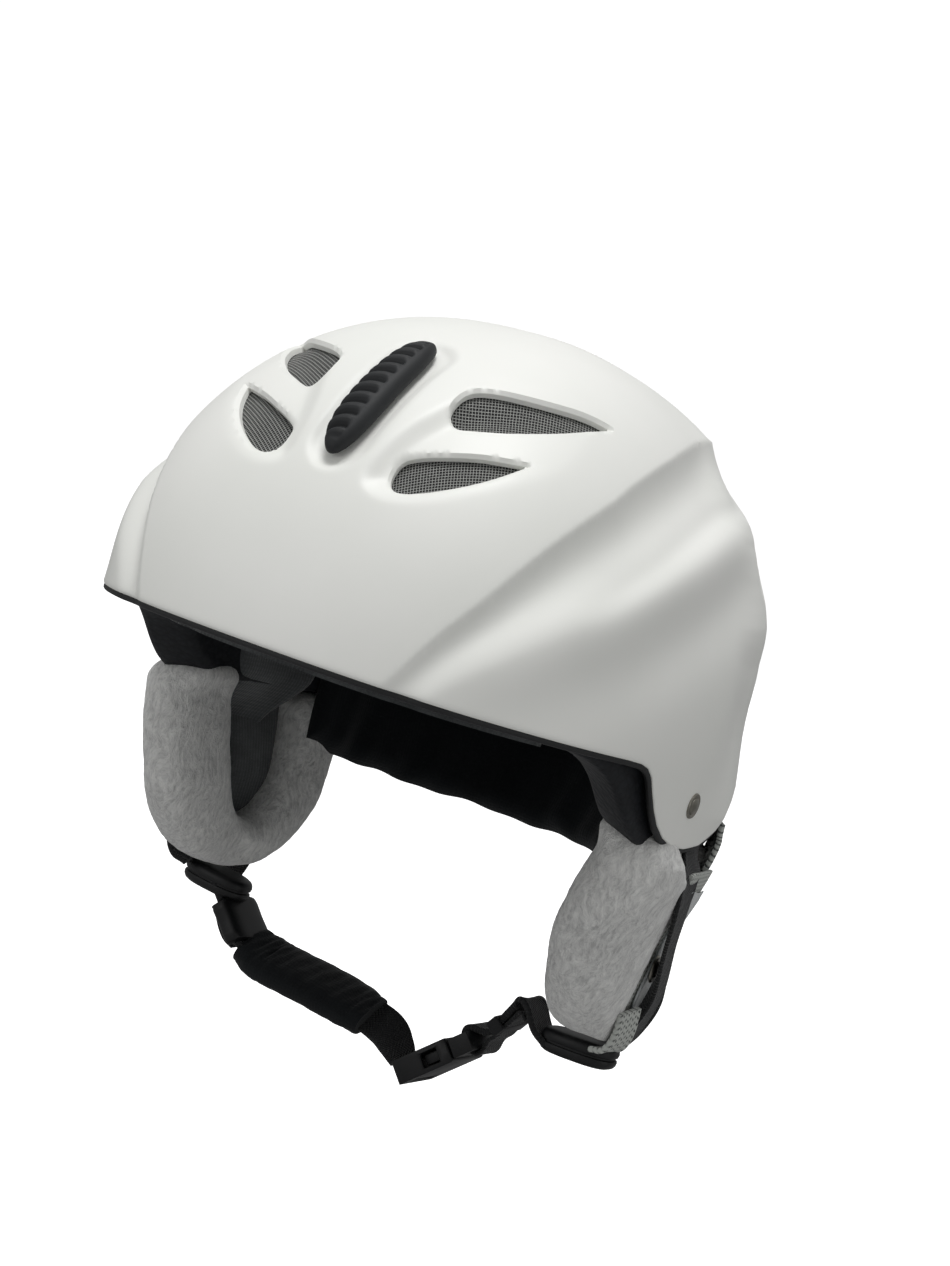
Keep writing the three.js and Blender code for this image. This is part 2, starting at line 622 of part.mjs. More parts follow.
// Centre line of the plush roll, down the front arm, round the toe and up the rear arm:
// [y, z, half-width, half-thickness].
const CUSHION = [
  [-15.5, -33.4, 17, 11.5], [-15.5, -46, 18.5, 12.5], [-14, -58, 18.5, 13.2],
  [-9, -70, 17, 13.6], [0, -79.5, 14.5, 13.4], [12, -85, 12, 12.8],
  [24, -84.5, 11, 12.2], [34.5, -77, 10.5, 11.6], [41, -66, 10.5, 11],
  [44.5, -54, 10.5, 10.6], [46.5, -43, 10.5, 10.4], [47.5, -33.4, 10, 10],
];
// Side-view outlines of the flap's back and of the fabric across the hollow: [y, z].
const FLAP = [
  [-4, -32.6], [1, -48], [5, -62], [8, -76], [11, -88], [18, -94.5],
  [28, -94.8], [38, -89], [46, -79], [51.5, -66], [55, -52], [57, -32.6],
];
const LINING = [
  [4.5, -33.5], [5.5, -50], [9, -60], [15, -67], [24, -69], [30, -62], [33, -52], [35.5, -33.5],
];

// Inner face of the flap's back: leans inwards going down, curves round the head going back.
function flapX(y, z) {
  const lean = z > BEND_Z
    ? (z - FOLD_Z) * UPPER_LEAN
    : (BEND_Z - FOLD_Z) * UPPER_LEAN + (z - BEND_Z) * LOWER_LEAN;
  return FLAP_X + lean - FLAP_CURVE * Math.max(0, y - CURVE_FROM_Y) ** 2;
}

function earCushion() {
  const last = CUSHION.length - 1;
  return roll(CUSHION.map(([y, z, halfSide, halfDeep], i) => {
    const before = CUSHION[Math.max(0, i - 1)], after = CUSHION[Math.min(last, i + 1)];
    const forward = vec(0, after[0] - before[0], after[1] - before[1]).normalize();
    // Away from the hollow of the U, and level at its two ends.
    const outward = vec(0, forward.z, -forward.y);
    if (i === 0) outward.set(0, -1, 0);
    if (i === last) outward.set(0, 1, 0);
    const slope = -2 * FLAP_CURVE * Math.max(0, y - CURVE_FROM_Y);
    return {
      centre: vec(flapX(y, z) - halfDeep - 0.6, y, z),
      side: outward.clone().add(vec(outward.y * slope, 0, 0)).normalize(),
      deep: vec(1, -slope, 0).normalize(),
      halfSide,
      halfDeep,
    };
  }), 2.5);
}

// Sheet that follows the flap between two distances outside its inner face.
const flapSheet = (outline, distances) =>
  loft(distances.map(distance => outline.map(([y, z]) => vec(flapX(y, z) + distance, y, z))));
function scaledFlap(scale) {
  const [middleY, middleZ] = FLAP_MIDDLE;
  return FLAP.map(([y, z]) =>
    [middleY + (y - middleY) * scale, Math.min(FLAP_TOP_Z, middleZ + (z - middleZ) * scale)]);
}

const earSnap = () => geometryOf(solid(new THREE.CylinderGeometry(5, 5.4, 1.5, 16)
  .rotateZ(-Math.PI / 2 + 0.16)
  .translate(flapX(SNAP_Y, SNAP_Z) + 4.65, SNAP_Y, SNAP_Z)));

// Tab under the toe of the flap that holds the webbing: [x, y, z].
const STRAP_LOOP = [[99.4, 7, -90], [98.9, 8, -96.5], [96.6, 10, -101.4], [92.4, 12, -103.2]];
const strapLoop = () =>
  webbing(STRAP_LOOP, STRAP_LOOP.map(() => [0.2, 1, 0]), 13, SIDE_WEB_T, 4);

// Strap divider below each ear.
const DIVIDER = { x: 82, y: 22, z: -106.5, halfLength: 14.5, halfWidth: 8.5, tilt: 0.06 };
// Levels of the divider: [scale, height].
const DIVIDER_LEVELS = [[0.9, -2.6], [1, -1.6], [1, 0.2], [0.9, 1.2]];
function strapDivider() {
  return loft(DIVIDER_LEVELS.map(([scale, height]) => circle(16, (cosine, sine) => {
    const x = DIVIDER.halfLength * signedPower(cosine, 0.7);
    const y = DIVIDER.halfWidth * signedPower(sine, 0.8);
    const z = DIVIDER.z + height + x * DIVIDER.tilt;
    return vec(DIVIDER.x + x * scale, DIVIDER.y + y * scale, z);
  })));
}

function addEarParts() {
  const parts = [
    ['ear_cushion', earCushion(), FINISH.plush],
    ['ear_lining', flapSheet(LINING, [-7, -5]), FINISH.plush],
    ['ear_mesh_back', flapSheet(scaledFlap(0.985), [0.5, 1.7]), FINISH.earMesh],
    ['ear_stiffener', flapSheet(scaledFlap(0.9), [2.2, 3.1]), FINISH.stiffener],
    ['ear_snap', earSnap(), FINISH.steel],
    ['ear_strap_loop', strapLoop(), FINISH.earMesh],
    ['strap_divider', strapDivider(), FINISH.divider],
  ];
  for (const [name, left, finish] of parts) addPart(`${name}_left`, left, finish);
  for (const [name, left, finish] of parts) addPart(`${name}_right`, mirrored(left), finish);
}

// ---------------------------------------------------------------- side straps
// From the lobe and from the back edge down to the divider: points and width directions.
const FRONT_STRAP = {
  points: [
    [111.6, 0, -33.4], [107.9, 4, -46], [104.6, 15, -62],
    [102.2, 24, -80], [99, 23, -93], [96.2, 20.5, -101.2],
  ],
  widths: [
    [-0.05, 1, 0.3], [-0.1, 1, 0.35], [-0.15, 1, 0.3],
    [-0.15, 1, 0.0], [-0.1, 1, -0.1], [0, 1, -0.1],
  ],
};
const REAR_STRAP = {
  points: [
    [88, 70, -36], [90, 64, -52], [90.5, 58, -68],
    [90, 51, -84], [88.5, 43, -97], [86.5, 33, -104.4],
  ],
  widths: [
    [-0.6, 0.75, 0], [-0.4, 0.9, 0.2], [-0.1, 0.8, 0.5],
    [0.3, 0.6, 0.6], [0.8, 0.4, 0.3], [1, 0.1, 0.1],
  ],
};
function addSideStraps() {
  const front = webbing(FRONT_STRAP.points, FRONT_STRAP.widths, 14, SIDE_WEB_T, 10);
  const rear = webbing(REAR_STRAP.points, REAR_STRAP.widths, 13, SIDE_WEB_T, 10);
  addSides('front_strap', front, FINISH.webbing);
  addSides('rear_strap', rear, FINISH.webbing);
}

// ---------------------------------------------------------------- chin strap
// Webbing on the wearer's left, from the divider to the male half of the buckle: [x, y, z].
const CHIN_LEFT = [
  [68.5, 23, -111.8], [62.8, 24.2, -108.2], [58.3, 25.6, -103.8],
  [54.2, 26.8, -104.6], [51.4, 28, -109.6], [48.2, 28.6, -114.2],
];
// Webbing from the adjuster on the wearer's right to the female half, and its padded sleeve.
const CHIN_RIGHT = [
  [-58.6, 25.3, -123.9], [-50, 26, -125.6], [-34, 27, -126.4], [-15, 28.5, -128],
  [2, 29.5, -131], [10, 29, -135.6], [15.2, 29, -140.8],
];
const SLEEVE = [
  [-55.5, 25.6, -124.9], [-44, 26.3, -126], [-28, 27.3, -126.9], [-13, 28.4, -128.5],
  [-3, 29, -130.2],
];
const SLEEVE_STEPS = 10;
const SLEEVE_HALF_T = 4.6, SLEEVE_HALF_W = 12.5;
const SLEEVE_CLEARANCE = 0.7;   // added to the webbing's width and thickness
// Levels of the adjuster: [scale, height].
const ADJUSTER_LEVELS = [[0.94, -2.2], [1, -1.4], [1, 1.4], [0.94, 2.2]];
const ADJUSTER_HALF = [7, 10.5];

const chinWebbing = (points, steps, extra = 0) =>
  webbing(points, points.map(() => [0, 1, 0]), WEB_W + extra, WEB_T + extra, steps);

function strapAdjuster() {
  const centre = vec(-66.5, 24.8, -117.2), [halfLength, halfWidth] = ADJUSTER_HALF;
  const forward = vec(0.72, 0, -0.69).normalize(), normal = vec(0.69, 0, 0.72).normalize();
  return loft(ADJUSTER_LEVELS.map(([scale, height]) => SQUARE.map(([x, y]) => centre.clone()
    .addScaledVector(forward, x * halfLength * scale)
    .add(vec(0, y * halfWidth * scale, 0))
    .addScaledVector(normal, height))));
}

// Padded roll, fuller in the middle, with a passage for the webbing.
function chinSleeve() {
  const path = curveThrough(SLEEVE.map(point => vec(...point))), stations = [];
  for (let i = 0; i <= SLEEVE_STEPS; i++) {
    const fraction = i / SLEEVE_STEPS, deep = vec(0, 1, 0);
    const fullness = 0.72 + 0.28 * Math.sin(Math.PI * fraction) ** 0.5;
    stations.push({
      centre: path.getPoint(fraction),
      side: path.getTangent(fraction).cross(deep).normalize(),
      deep,
      halfSide: SLEEVE_HALF_T * fullness,
      halfDeep: SLEEVE_HALF_W * fullness,
    });
  }
  const passage = chinWebbing(CHIN_RIGHT, 16, SLEEVE_CLEARANCE);
  return largestOf(solid(roll(stations, 2.6)).subtract(solid(passage)));
}

// Band round the left chin webbing, next to the buckle.
const KEEPER_PLACE = 0.86;
function strapKeeper() {
  const path = curveThrough(CHIN_LEFT.map(point => vec(...point)));
  const forward = path.getTangent(KEEPER_PLACE);
  const normal = forward.clone().cross(vec(0, 1, 0)).normalize();
  const frame = new THREE.Matrix4().makeBasis(forward, normal.clone().cross(forward), normal)
    .setPosition(path.getPoint(KEEPER_PLACE));
  return geometryOf(block([5, 19, 5.8]).subtract(block([7, 16.6, 3.3]))).applyMatrix4(frame);
}

// ---------------------------------------------------------------- side-release buckle
// Local axes: along the buckle towards the wearer's left, across it, and through its
// thickness. The origin is the mouth of the female half.
const BUCKLE_AXIS = vec(0.733, 0, 0.680).normalize();
const BUCKLE_AT = vec(36.8, 29, -125.8);
const WINDOW_HALF_T = 2.7;      // socket and side windows
const LATCH_HALF_T = 1.9;       // latches and centre guide
const SLOT_ACROSS = [-8.6, 8.6];

const buckleBox = (lengthSpan, acrossSpan, halfT) => block(
  [lengthSpan[1] - lengthSpan[0], acrossSpan[1] - acrossSpan[0], 2 * halfT],
  [(lengthSpan[0] + lengthSpan[1]) / 2, (acrossSpan[0] + acrossSpan[1]) / 2, 0]);

const femaleHalf = () => buckleBox([-24, 0], [-13, 13], 4.5)
  .subtract(buckleBox([-17, 1], [-10.8, 10.8], WINDOW_HALF_T))  // socket
  .subtract(buckleBox([-12, -5], [-14, 14], WINDOW_HALF_T))     // windows for the latch heads
  .subtract(buckleBox([-22.4, -19.4], SLOT_ACROSS, 5));         // webbing slot
const maleHalf = () => buckleBox([0.4, 9], [-12.5, 12.5], 3.6)
  .subtract(buckleBox([3.6, 6.4], SLOT_ACROSS, 5))              // webbing slot
  .add(buckleBox([-13, 1], [-2.2, 2.2], LATCH_HALF_T));         // centre guide
const rearLatch = () => buckleBox([-5.2, 0.1], [6.6, 8.4], LATCH_HALF_T) // arm
  .add(buckleBox([-11.4, -5.6], [7.4, 10.5], LATCH_HALF_T))     // head
  .add(buckleBox([-6, -5], [6.6, 9.6], LATCH_HALF_T));          // joint between them

function addBuckle() {
  const across = vec(0, 1, 0), through = BUCKLE_AXIS.clone().cross(across).normalize();
  const frame = new THREE.Matrix4().makeBasis(BUCKLE_AXIS, across, through)
    .setPosition(BUCKLE_AT);
  const parts = {
    buckle_female: femaleHalf(),
    buckle_male: maleHalf(),
    buckle_latch_rear: rearLatch(),
    buckle_latch_front: rearLatch().mirror([0, 1, 0]),
  };
  for (const [name, part] of Object.entries(parts))
    addPart(name, geometryOf(part).applyMatrix4(frame), FINISH.buckle);
}

// ---------------------------------------------------------------- assembly
addPart('outer_shell', outerShell(), FINISH.shell);
addPart('eps_liner', foamLiner(), FINISH.foam);
addPart('edge_trim', edgeTrim(), FINISH.trim);
addScreens();
addSides('strap_rivet', turnedAtRivet(RIVET), FINISH.steel);
addPart('vent_slider', ventSlider(), FINISH.slider);
addPart('slider_carrier', sliderCarrier(), FINISH.carrier);
addPart('vent_shutter', ventShutter(), FINISH.shutter);
addLining();
addRetainer();
addEarParts();
addSideStraps();
addPart('chin_webbing_left', chinWebbing(CHIN_LEFT, 10), FINISH.webbing);
addPart('strap_adjuster_right', strapAdjuster(), FINISH.adjuster);
addPart('chin_webbing_right', geometryOf(solid(chinWebbing(CHIN_RIGHT, 16))), FINISH.webbing);
addPart('chin_sleeve', chinSleeve(), FINISH.padding);
addBuckle();
addPart('strap_keeper', strapKeeper(), FINISH.keeper);

// The top of the head rests on the crown pad's flat face, so that face is set at the origin.
const helmet = new THREE.Group();
group.position.z = -CROWN_FACE_Z;
helmet.add(group);

export default helmet;
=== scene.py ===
"""A white snow helmet with vents, ear flaps, inner padding and a buckled chin strap.

The wearer looks along -Y, +X is the wearer's left and +Z is up. Shapes are worked out in
millimetres from the middle of the head opening, level with the brow rim, and turned into
metres in the frame when a mesh is made.

The shell is a radius over directions. A direction is (phi, tilt) in degrees: phi runs round
from the front towards +X, tilt runs down from the crown. Shell outlines lie on a flat map of
those directions: across = tilt sin(phi), along = -tilt cos(phi), so the front is negative.
"""
import math

import bmesh
import bpy
import numpy as np
from mathutils import Matrix, Vector


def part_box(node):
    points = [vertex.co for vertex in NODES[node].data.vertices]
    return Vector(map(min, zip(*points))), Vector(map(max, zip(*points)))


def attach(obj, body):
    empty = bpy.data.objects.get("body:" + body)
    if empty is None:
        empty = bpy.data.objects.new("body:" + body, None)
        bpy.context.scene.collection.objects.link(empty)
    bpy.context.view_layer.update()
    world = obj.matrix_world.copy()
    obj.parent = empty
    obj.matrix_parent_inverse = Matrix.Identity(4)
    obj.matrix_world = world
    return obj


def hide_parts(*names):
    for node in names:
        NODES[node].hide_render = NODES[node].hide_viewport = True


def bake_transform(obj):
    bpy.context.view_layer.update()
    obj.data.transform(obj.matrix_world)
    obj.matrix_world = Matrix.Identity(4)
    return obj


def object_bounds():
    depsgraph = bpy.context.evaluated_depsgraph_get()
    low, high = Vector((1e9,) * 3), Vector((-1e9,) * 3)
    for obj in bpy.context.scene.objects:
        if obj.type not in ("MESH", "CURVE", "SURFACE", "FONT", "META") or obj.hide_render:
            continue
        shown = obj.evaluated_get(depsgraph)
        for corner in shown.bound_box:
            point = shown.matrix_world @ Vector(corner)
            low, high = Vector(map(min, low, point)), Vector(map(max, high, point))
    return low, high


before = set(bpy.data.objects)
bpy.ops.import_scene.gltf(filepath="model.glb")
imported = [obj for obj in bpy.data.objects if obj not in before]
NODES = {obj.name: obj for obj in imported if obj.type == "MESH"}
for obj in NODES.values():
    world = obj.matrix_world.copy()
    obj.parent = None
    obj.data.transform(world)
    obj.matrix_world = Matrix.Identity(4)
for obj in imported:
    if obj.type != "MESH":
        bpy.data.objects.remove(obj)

CAD_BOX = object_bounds()
MM = 0.001
DROP = 91.0  # the brow rim lies this far below the frame's origin
RAD = math.pi / 180
TURN = 2 * math.pi
SIDES = ((1, "left"), (-1, "right"))  # sign of x, name


# ------------------------------------------------------------------ points and curves
def to_frame(points):
    """Millimetres from the middle of the head opening to metres in the frame."""
    out = np.asarray(points, float) * MM
    out[..., 2] -= DROP * MM
    return out


def frame_point(x, y, z):
    return (x * MM, y * MM, (z - DROP) * MM)


def mirror(points, side):
    points = np.array(points, float)
    points[..., 0] *= side
    return points


def smoothstep(start, end, value):
    t = np.clip((np.asarray(value, float) - start) / (end - start), 0, 1)
    return t * t * (3 - 2 * t)


def signed_power(value, exponent):
    return np.sign(value) * np.abs(value) ** exponent


def smooth_curve(points, steps=8, closed=False):
    """Catmull-Rom curve through the points, with so many steps to each span."""
    p = np.asarray(points, float)
    count = len(p)
    out = []
    for i in range(count if closed else count - 1):
        if closed:
            a, b, c, d = (p[(i + k) % count] for k in (-1, 0, 1, 2))
        else:
            a = p[i - 1] if i > 0 else 2 * p[0] - p[1]
            b, c = p[i], p[i + 1]
            d = p[i + 2] if i + 2 < count else 2 * p[-1] - p[-2]
        for k in range(steps):
            t = k / steps
            out.append(0.5 * ((2 * b) + (c - a) * t + (2 * a - 5 * b + 4 * c - d) * t * t
                              + (3 * b - a - 3 * c + d) * t ** 3))
    if not closed:
        out.append(p[-1])
    return np.array(out)


def round_outline(points, sharp=None, rounds=3):
    """Cuts the corners of an outline again and again, keeping the corner numbered sharp."""
    kept = None if sharp is None else points[sharp]
    for _ in range(rounds):
        out = []
        for a, b in zip(points, points[1:] + points[:1]):
            if a == kept:
                out.append(a)
            out.append((a[0] * 0.75 + b[0] * 0.25, a[1] * 0.75 + b[1] * 0.25))
            out.append((a[0] * 0.25 + b[0] * 0.75, a[1] * 0.25 + b[1] * 0.75))
        points = out
    return np.array(points)


def line_distance(line, across, along):
    """Distance to an open line on the map, positive to the right of its direction."""
    best = np.full(across.shape, 1e9)
    side = np.ones(across.shape)
    for (ax, ay), (bx, by) in zip(line[:-1], line[1:]):
        dx, dy = bx - ax, by - ay
        length2 = dx * dx + dy * dy
        if length2 < 1e-12:
            continue
        t = np.clip(((across - ax) * dx + (along - ay) * dy) / length2, 0, 1)
        distance = np.hypot(across - ax - t * dx, along - ay - t * dy)
        nearer = distance < best - 1e-9
        best = np.where(nearer, distance, best)
        right = dx * (along - ay) - dy * (across - ax) < 0
        side = np.where(nearer, np.where(right, 1.0, -1.0), side)
    return best * side


def outline_distance(outline, across, along):
    """Distance to a closed outline on the map, negative inside."""
    best = np.full(across.shape, 1e9)
    inside = np.zeros(across.shape, bool)
    for (ax, ay), (bx, by) in zip(outline, np.roll(outline, -1, axis=0)):
        dx, dy = bx - ax, by - ay
        t = ((across - ax) * dx + (along - ay) * dy) / (dx * dx + dy * dy + 1e-12)
        t = np.clip(t, 0, 1)
        best = np.minimum(best, np.hypot(across - ax - t * dx, along - ay - t * dy))
        spans = (ay > along) != (by > along)
        with np.errstate(divide="ignore", invalid="ignore"):
            crossing = dx * (along - ay) / dy + ax
        inside ^= spans & (across < crossing)
    return np.where(inside, -best, best)


# ------------------------------------------------------------------ meshes
def get_positions(mesh, attribute="co"):
    out = np.empty(len(mesh.vertices) * 3, np.float32)
    mesh.vertices.foreach_get(attribute, out)
    return out.reshape(-1, 3).astype(float)


def set_positions(mesh, positions):
    mesh.vertices.foreach_set("co", positions.reshape(-1).astype(np.float32))
    mesh.update()


def set_smooth(mesh):
    mesh.polygons.foreach_set("use_smooth", np.ones(len(mesh.polygons), bool))


def link_object(name, mesh):
    ob = bpy.data.objects.new(name, mesh)
    bpy.context.scene.collection.objects.link(ob)
    return ob


def face_outward(bm):
    bmesh.ops.recalc_face_normals(bm, faces=bm.faces)
    if bm.calc_volume(signed=True) < 0:
        bmesh.ops.reverse_faces(bm, faces=bm.faces)


def mark_sharp(bm, degrees):
    for edge in bm.edges:
        if len(edge.link_faces) == 2:
            edge.smooth = edge.calc_face_angle(0.0) < math.radians(degrees)


def mesh_object(name, verts, faces, material, outward=True):
    """A smooth-shaded mesh object from millimetre positions."""
    mesh = bpy.data.meshes.new(name)
    mesh.from_pydata([tuple(v) for v in to_frame(verts)], [],
                     [tuple(int(i) for i in face) for face in faces])
    ob = link_object(name, mesh)
    mesh.materials.append(material)
    if outward:
        bm = bmesh.new()
        bm.from_mesh(mesh)
        face_outward(bm)
        bm.to_mesh(mesh)
        bm.free()
    set_smooth(mesh)
    mesh.update()
    return ob


def shade_by_angle(ob, degrees):
    """Smooth faces, with sharp edges above an angle."""
    set_smooth(ob.data)
    bm = bmesh.new()
    bm.from_mesh(ob.data)
    mark_sharp(bm, degrees)
    bm.to_mesh(ob.data)
    bm.free()
    return ob


def set_uv(ob, coords):
    """Writes the 'strap' UV map from one (along, across) pair in mm to each vertex."""
    mesh = ob.data
    layer = mesh.uv_layers.new(name="strap")
    corners = np.empty(len(mesh.loops), np.int64)
    mesh.loops.foreach_get("vertex_index", corners)
    layer.data.foreach_set("uv", np.asarray(coords, np.float32)[corners].reshape(-1))


def apply_modifiers(ob):
    depsgraph = bpy.context.evaluated_depsgraph_get()
    mesh = bpy.data.meshes.new_from_object(ob.evaluated_get(depsgraph), depsgraph=depsgraph)
    materials = list(ob.data.materials)
    ob.modifiers.clear()
    ob.data = mesh
    mesh.materials.clear()
    for material in materials:
        mesh.materials.append(material)


def grid_slab(name, top, bottom, material, uv=None, sharp=40):
    """Closed body between two point grids (rows x columns x 3)."""
    rows, columns = top.shape[:2]
    count = rows * columns
    faces = []
    for i in range(rows - 1):
        for j in range(columns - 1):
            a = i * columns + j
            b, c, d = a + 1, a + columns + 1, a + columns
            faces.append((a, b, c, d))
            faces.append((count + d, count + c, count + b, count + a))
    border = (list(range(columns))
              + [i * columns + columns - 1 for i in range(1, rows)]
              + [(rows - 1) * columns + j for j in range(columns - 2, -1, -1)]
              + [i * columns for i in range(rows - 2, 0, -1)])
    for a, b in zip(border, border[1:] + border[:1]):
        faces.append((b, a, count + a, count + b))
    verts = np.concatenate([top.reshape(-1, 3), bottom.reshape(-1, 3)])
    ob = mesh_object(name, verts, faces, material)
    if uv is not None:
        flat = uv.reshape(-1, 2)
        set_uv(ob, np.concatenate([flat, flat]))
    return shade_by_angle(ob, sharp)


def closed_tube(name, rings, poles, material, paired=True, side=1):
    """Skin over a stack of equal rings, closed by a fan to a pole at each end.

    paired alternates the faces of the two fans; otherwise one fan follows the other.
    """
    count, around = len(rings), len(rings[0])
    verts = mirror(np.concatenate([*rings, poles]), side)
    turn = [(j, (j + 1) % around) for j in range(around)]
    faces = [(i * around + j, i * around + k, (i + 1) * around + k, (i + 1) * around + j)
             for i in range(count - 1) for j, k in turn]
    first = [(count * around, k, j) for j, k in turn]
    row = (count - 1) * around
    last = [(count * around + 1, row + j, row + k) for j, k in turn]
    faces += [face for pair in zip(first, last) for face in pair] if paired else first + last
    return mesh_object(name, verts, faces, material)


def sweep_frame(points, across, steps):
    """Smooth path with its unit width and thickness directions at each point."""
    path = smooth_curve(points, steps)
    units = [np.array(w, float) / np.linalg.norm(w) for w in across]
    wide = smooth_curve(np.array(units), steps)
    tangent = np.gradient(path, axis=0)
    tangent /= np.linalg.norm(tangent, axis=1)[:, None]
    wide = wide - (wide * tangent).sum(1)[:, None] * tangent
    wide /= np.linalg.norm(wide, axis=1)[:, None]
    return path, wide, np.cross(tangent, wide)


def sweep(name, points, across, section, material, steps=8, scale=None):
    """Sweeps a closed section of (across, through) mm along a smooth path.

    across holds the width direction at each point, scale the width factors along the path.
    """
    path, wide, normal = sweep_frame(points, across, steps)
    section = np.asarray(section, float)
    count, around = len(path), len(section)
    widen = np.ones(count)
    if scale is not None:
        widen = np.interp(np.linspace(0, 1, count), np.linspace(0, 1, len(scale)), scale)
    travel = np.concatenate([[0], np.cumsum(np.linalg.norm(np.diff(path, axis=0), axis=1))])
    rings = (path[:, None] + wide[:, None] * (section[None, :, 0:1] * widen[:, None, None])
             + normal[:, None] * section[None, :, 1:2])
    ob = closed_tube(name, rings, path[[0, -1]], material)
    uv = np.stack([np.repeat(travel, around), np.tile(section[:, 0], count)], -1)
    set_uv(ob, np.concatenate([uv, [[0, 0]], [[travel[-1], 0]]]))
    return shade_by_angle(ob, 45)


def tape(width, thick=1.4, selvage=0.15):
    """Section of woven tape with rounded edges and a slightly thicker selvage."""
    half, rise = width / 2, thick / 2
    lip = rise + selvage * 0.5
    top = [(-half, 0.0), (-half + 0.12, rise * 0.62), (-half + 0.45, lip), (-half + 1.2, lip),
           (-half + 1.7, rise), (-half * 0.35, rise), (half * 0.35, rise), (half - 1.7, rise),
           (half - 1.2, lip), (half - 0.45, lip), (half - 0.12, rise * 0.62), (half, 0.0)]
    return top + [(x, -y) for x, y in reversed(top[1:-1])]


def superellipse(half_width, half_thick, count, power):
    angle = np.linspace(0, TURN, count, endpoint=False)
    return np.stack([half_width * signed_power(np.cos(angle), 2 / power),
                     half_thick * signed_power(np.sin(angle), 2 / power)], -1)


def revolve(name, centre, axis, profile, material, around=48):
    """Turned piece. profile: (radius, height along axis) from one pole to the other."""
    axis = np.array(axis, float)
    axis /= np.linalg.norm(axis)
    first = np.cross(axis, [0, 0, 1.0])
    first /= np.linalg.norm(first)
    second = np.cross(axis, first)
    angle = np.arange(around) * TURN / around
    circle = np.cos(angle)[:, None] * first + np.sin(angle)[:, None] * second
    rings = [np.array(centre) + axis * height + radius * circle for radius, height in profile]
    poles = np.array([np.array(centre) + axis * profile[end][1] for end in (0, -1)])
    return shade_by_angle(closed_tube(name, rings, poles, material), 35)


def copy_node(node, name, material):
    """A copy of a CAD piece, placed in world coordinates."""
    ob = link_object(name, NODES[node].data.copy())
    ob.data.transform(NODES[node].matrix_world)
    ob.data.materials.clear()
    ob.data.materials.append(material)
    return ob


def bevelled(node, width, material, segments=3):
    """A copy of a hard CAD piece with its edges rounded; width in mm."""
    ob = copy_node(node, node + "_skin", material)
    bm = bmesh.new()
    bm.from_mesh(ob.data)
    bmesh.ops.remove_doubles(bm, verts=bm.verts, dist=2e-6)
    bmesh.ops.dissolve_limit(bm, angle_limit=math.radians(1.0), verts=bm.verts, edges=bm.edges)
    bm.to_mesh(ob.data)
    bm.free()
    bevel = ob.modifiers.new("bevel", "BEVEL")
    bevel.width = width * MM
    bevel.segments = segments
    bevel.limit_method = "ANGLE"
    bevel.angle_limit = math.radians(28)
    bevel.use_clamp_overlap = True
    ob.modifiers.new("tri", "TRIANGULATE")
    apply_modifiers(ob)
    return shade_by_angle(ob, 35)


def own(ob, body, slot, *nodes):
    """Attaches a piece to the body it rides on and hides the CAD nodes it stands for; slot is not
    used.
    """
    if nodes:
        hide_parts(*nodes)
    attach(ob, body)


def bridge(ob, side_name, slot, start, end, *nodes):
    """For a soft piece that runs from the helmet to an ear flap: hides the CAD nodes it stands
    for and bakes its placement into its mesh.
    """
    if nodes:
        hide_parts(*nodes)
    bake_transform(ob)


def inflate(ob, pressure, frames, reach):
    """Puffs a form with the cloth solver, keeping each point within reach (m) of its start."""
    cloth = ob.modifiers.new("cloth", "CLOTH")
    settings = cloth.settings
    settings.quality = 5
    settings.mass = 0.25
    settings.tension_stiffness = settings.compression_stiffness = 12
    settings.shear_stiffness = 6
    settings.bending_stiffness = 0.6
    settings.use_pressure = True
    settings.uniform_pressure_force = pressure
    settings.effector_weights.gravity = 0
    cloth.collision_settings.use_collision = False
    cloth.point_cache.frame_start = 1
    cloth.point_cache.frame_end = frames
    scene = bpy.context.scene
    for number in range(1, frames + 1):
        scene.frame_set(number)
    evaluated = ob.evaluated_get(bpy.context.evaluated_depsgraph_get())
    end = get_positions(evaluated.to_mesh())
    evaluated.to_mesh_clear()
    ob.modifiers.clear()
    scene.frame_set(1)
    start = get_positions(ob.data)
    # a solver that blew up leaves the form as it was
    if end.shape == start.shape and np.isfinite(end).all():
        move = end - start
        length = np.linalg.norm(move, axis=1)
        move *= np.minimum(1, reach / np.maximum(length, 1e-9))[:, None]
        set_positions(ob.data, start + move)


def raise_nap(ob, wavelength, height):
    """Displaces the surface by layered waves; both sizes in metres."""
    positions = get_positions(ob.data)
    normals = get_positions(ob.data, "normal")
    relief = np.zeros(len(positions))
    rng = np.random.default_rng(7)
    for k in range(9):
        direction = rng.normal(size=3)
        direction /= np.linalg.norm(direction)
        rate = TURN / (wavelength * (0.45 + 0.2 * k))
        phase = rng.uniform(0, 6.28)
        warp = 1.5 * np.sin(positions @ rng.normal(size=3) * rate * 0.35)
        relief += np.sin(positions @ direction * rate + phase + warp) * (0.6 + 0.1 * k)
    set_positions(ob.data, positions + normals * (relief / 6 * height)[:, None])


# ------------------------------------------------------------------ shell surface
HALF_WIDTH, FRONT_LENGTH, REAR_LENGTH, CROWN_HEIGHT = 106.25, 136.0, 140.67, 130.98
CENTRE_Z = -3.14  # height of the point the radii start from
PLAN_POWER, REAR_PLAN_POWER, RISE_POWER = 2.64, 2.0, 2.21  # superellipse powers

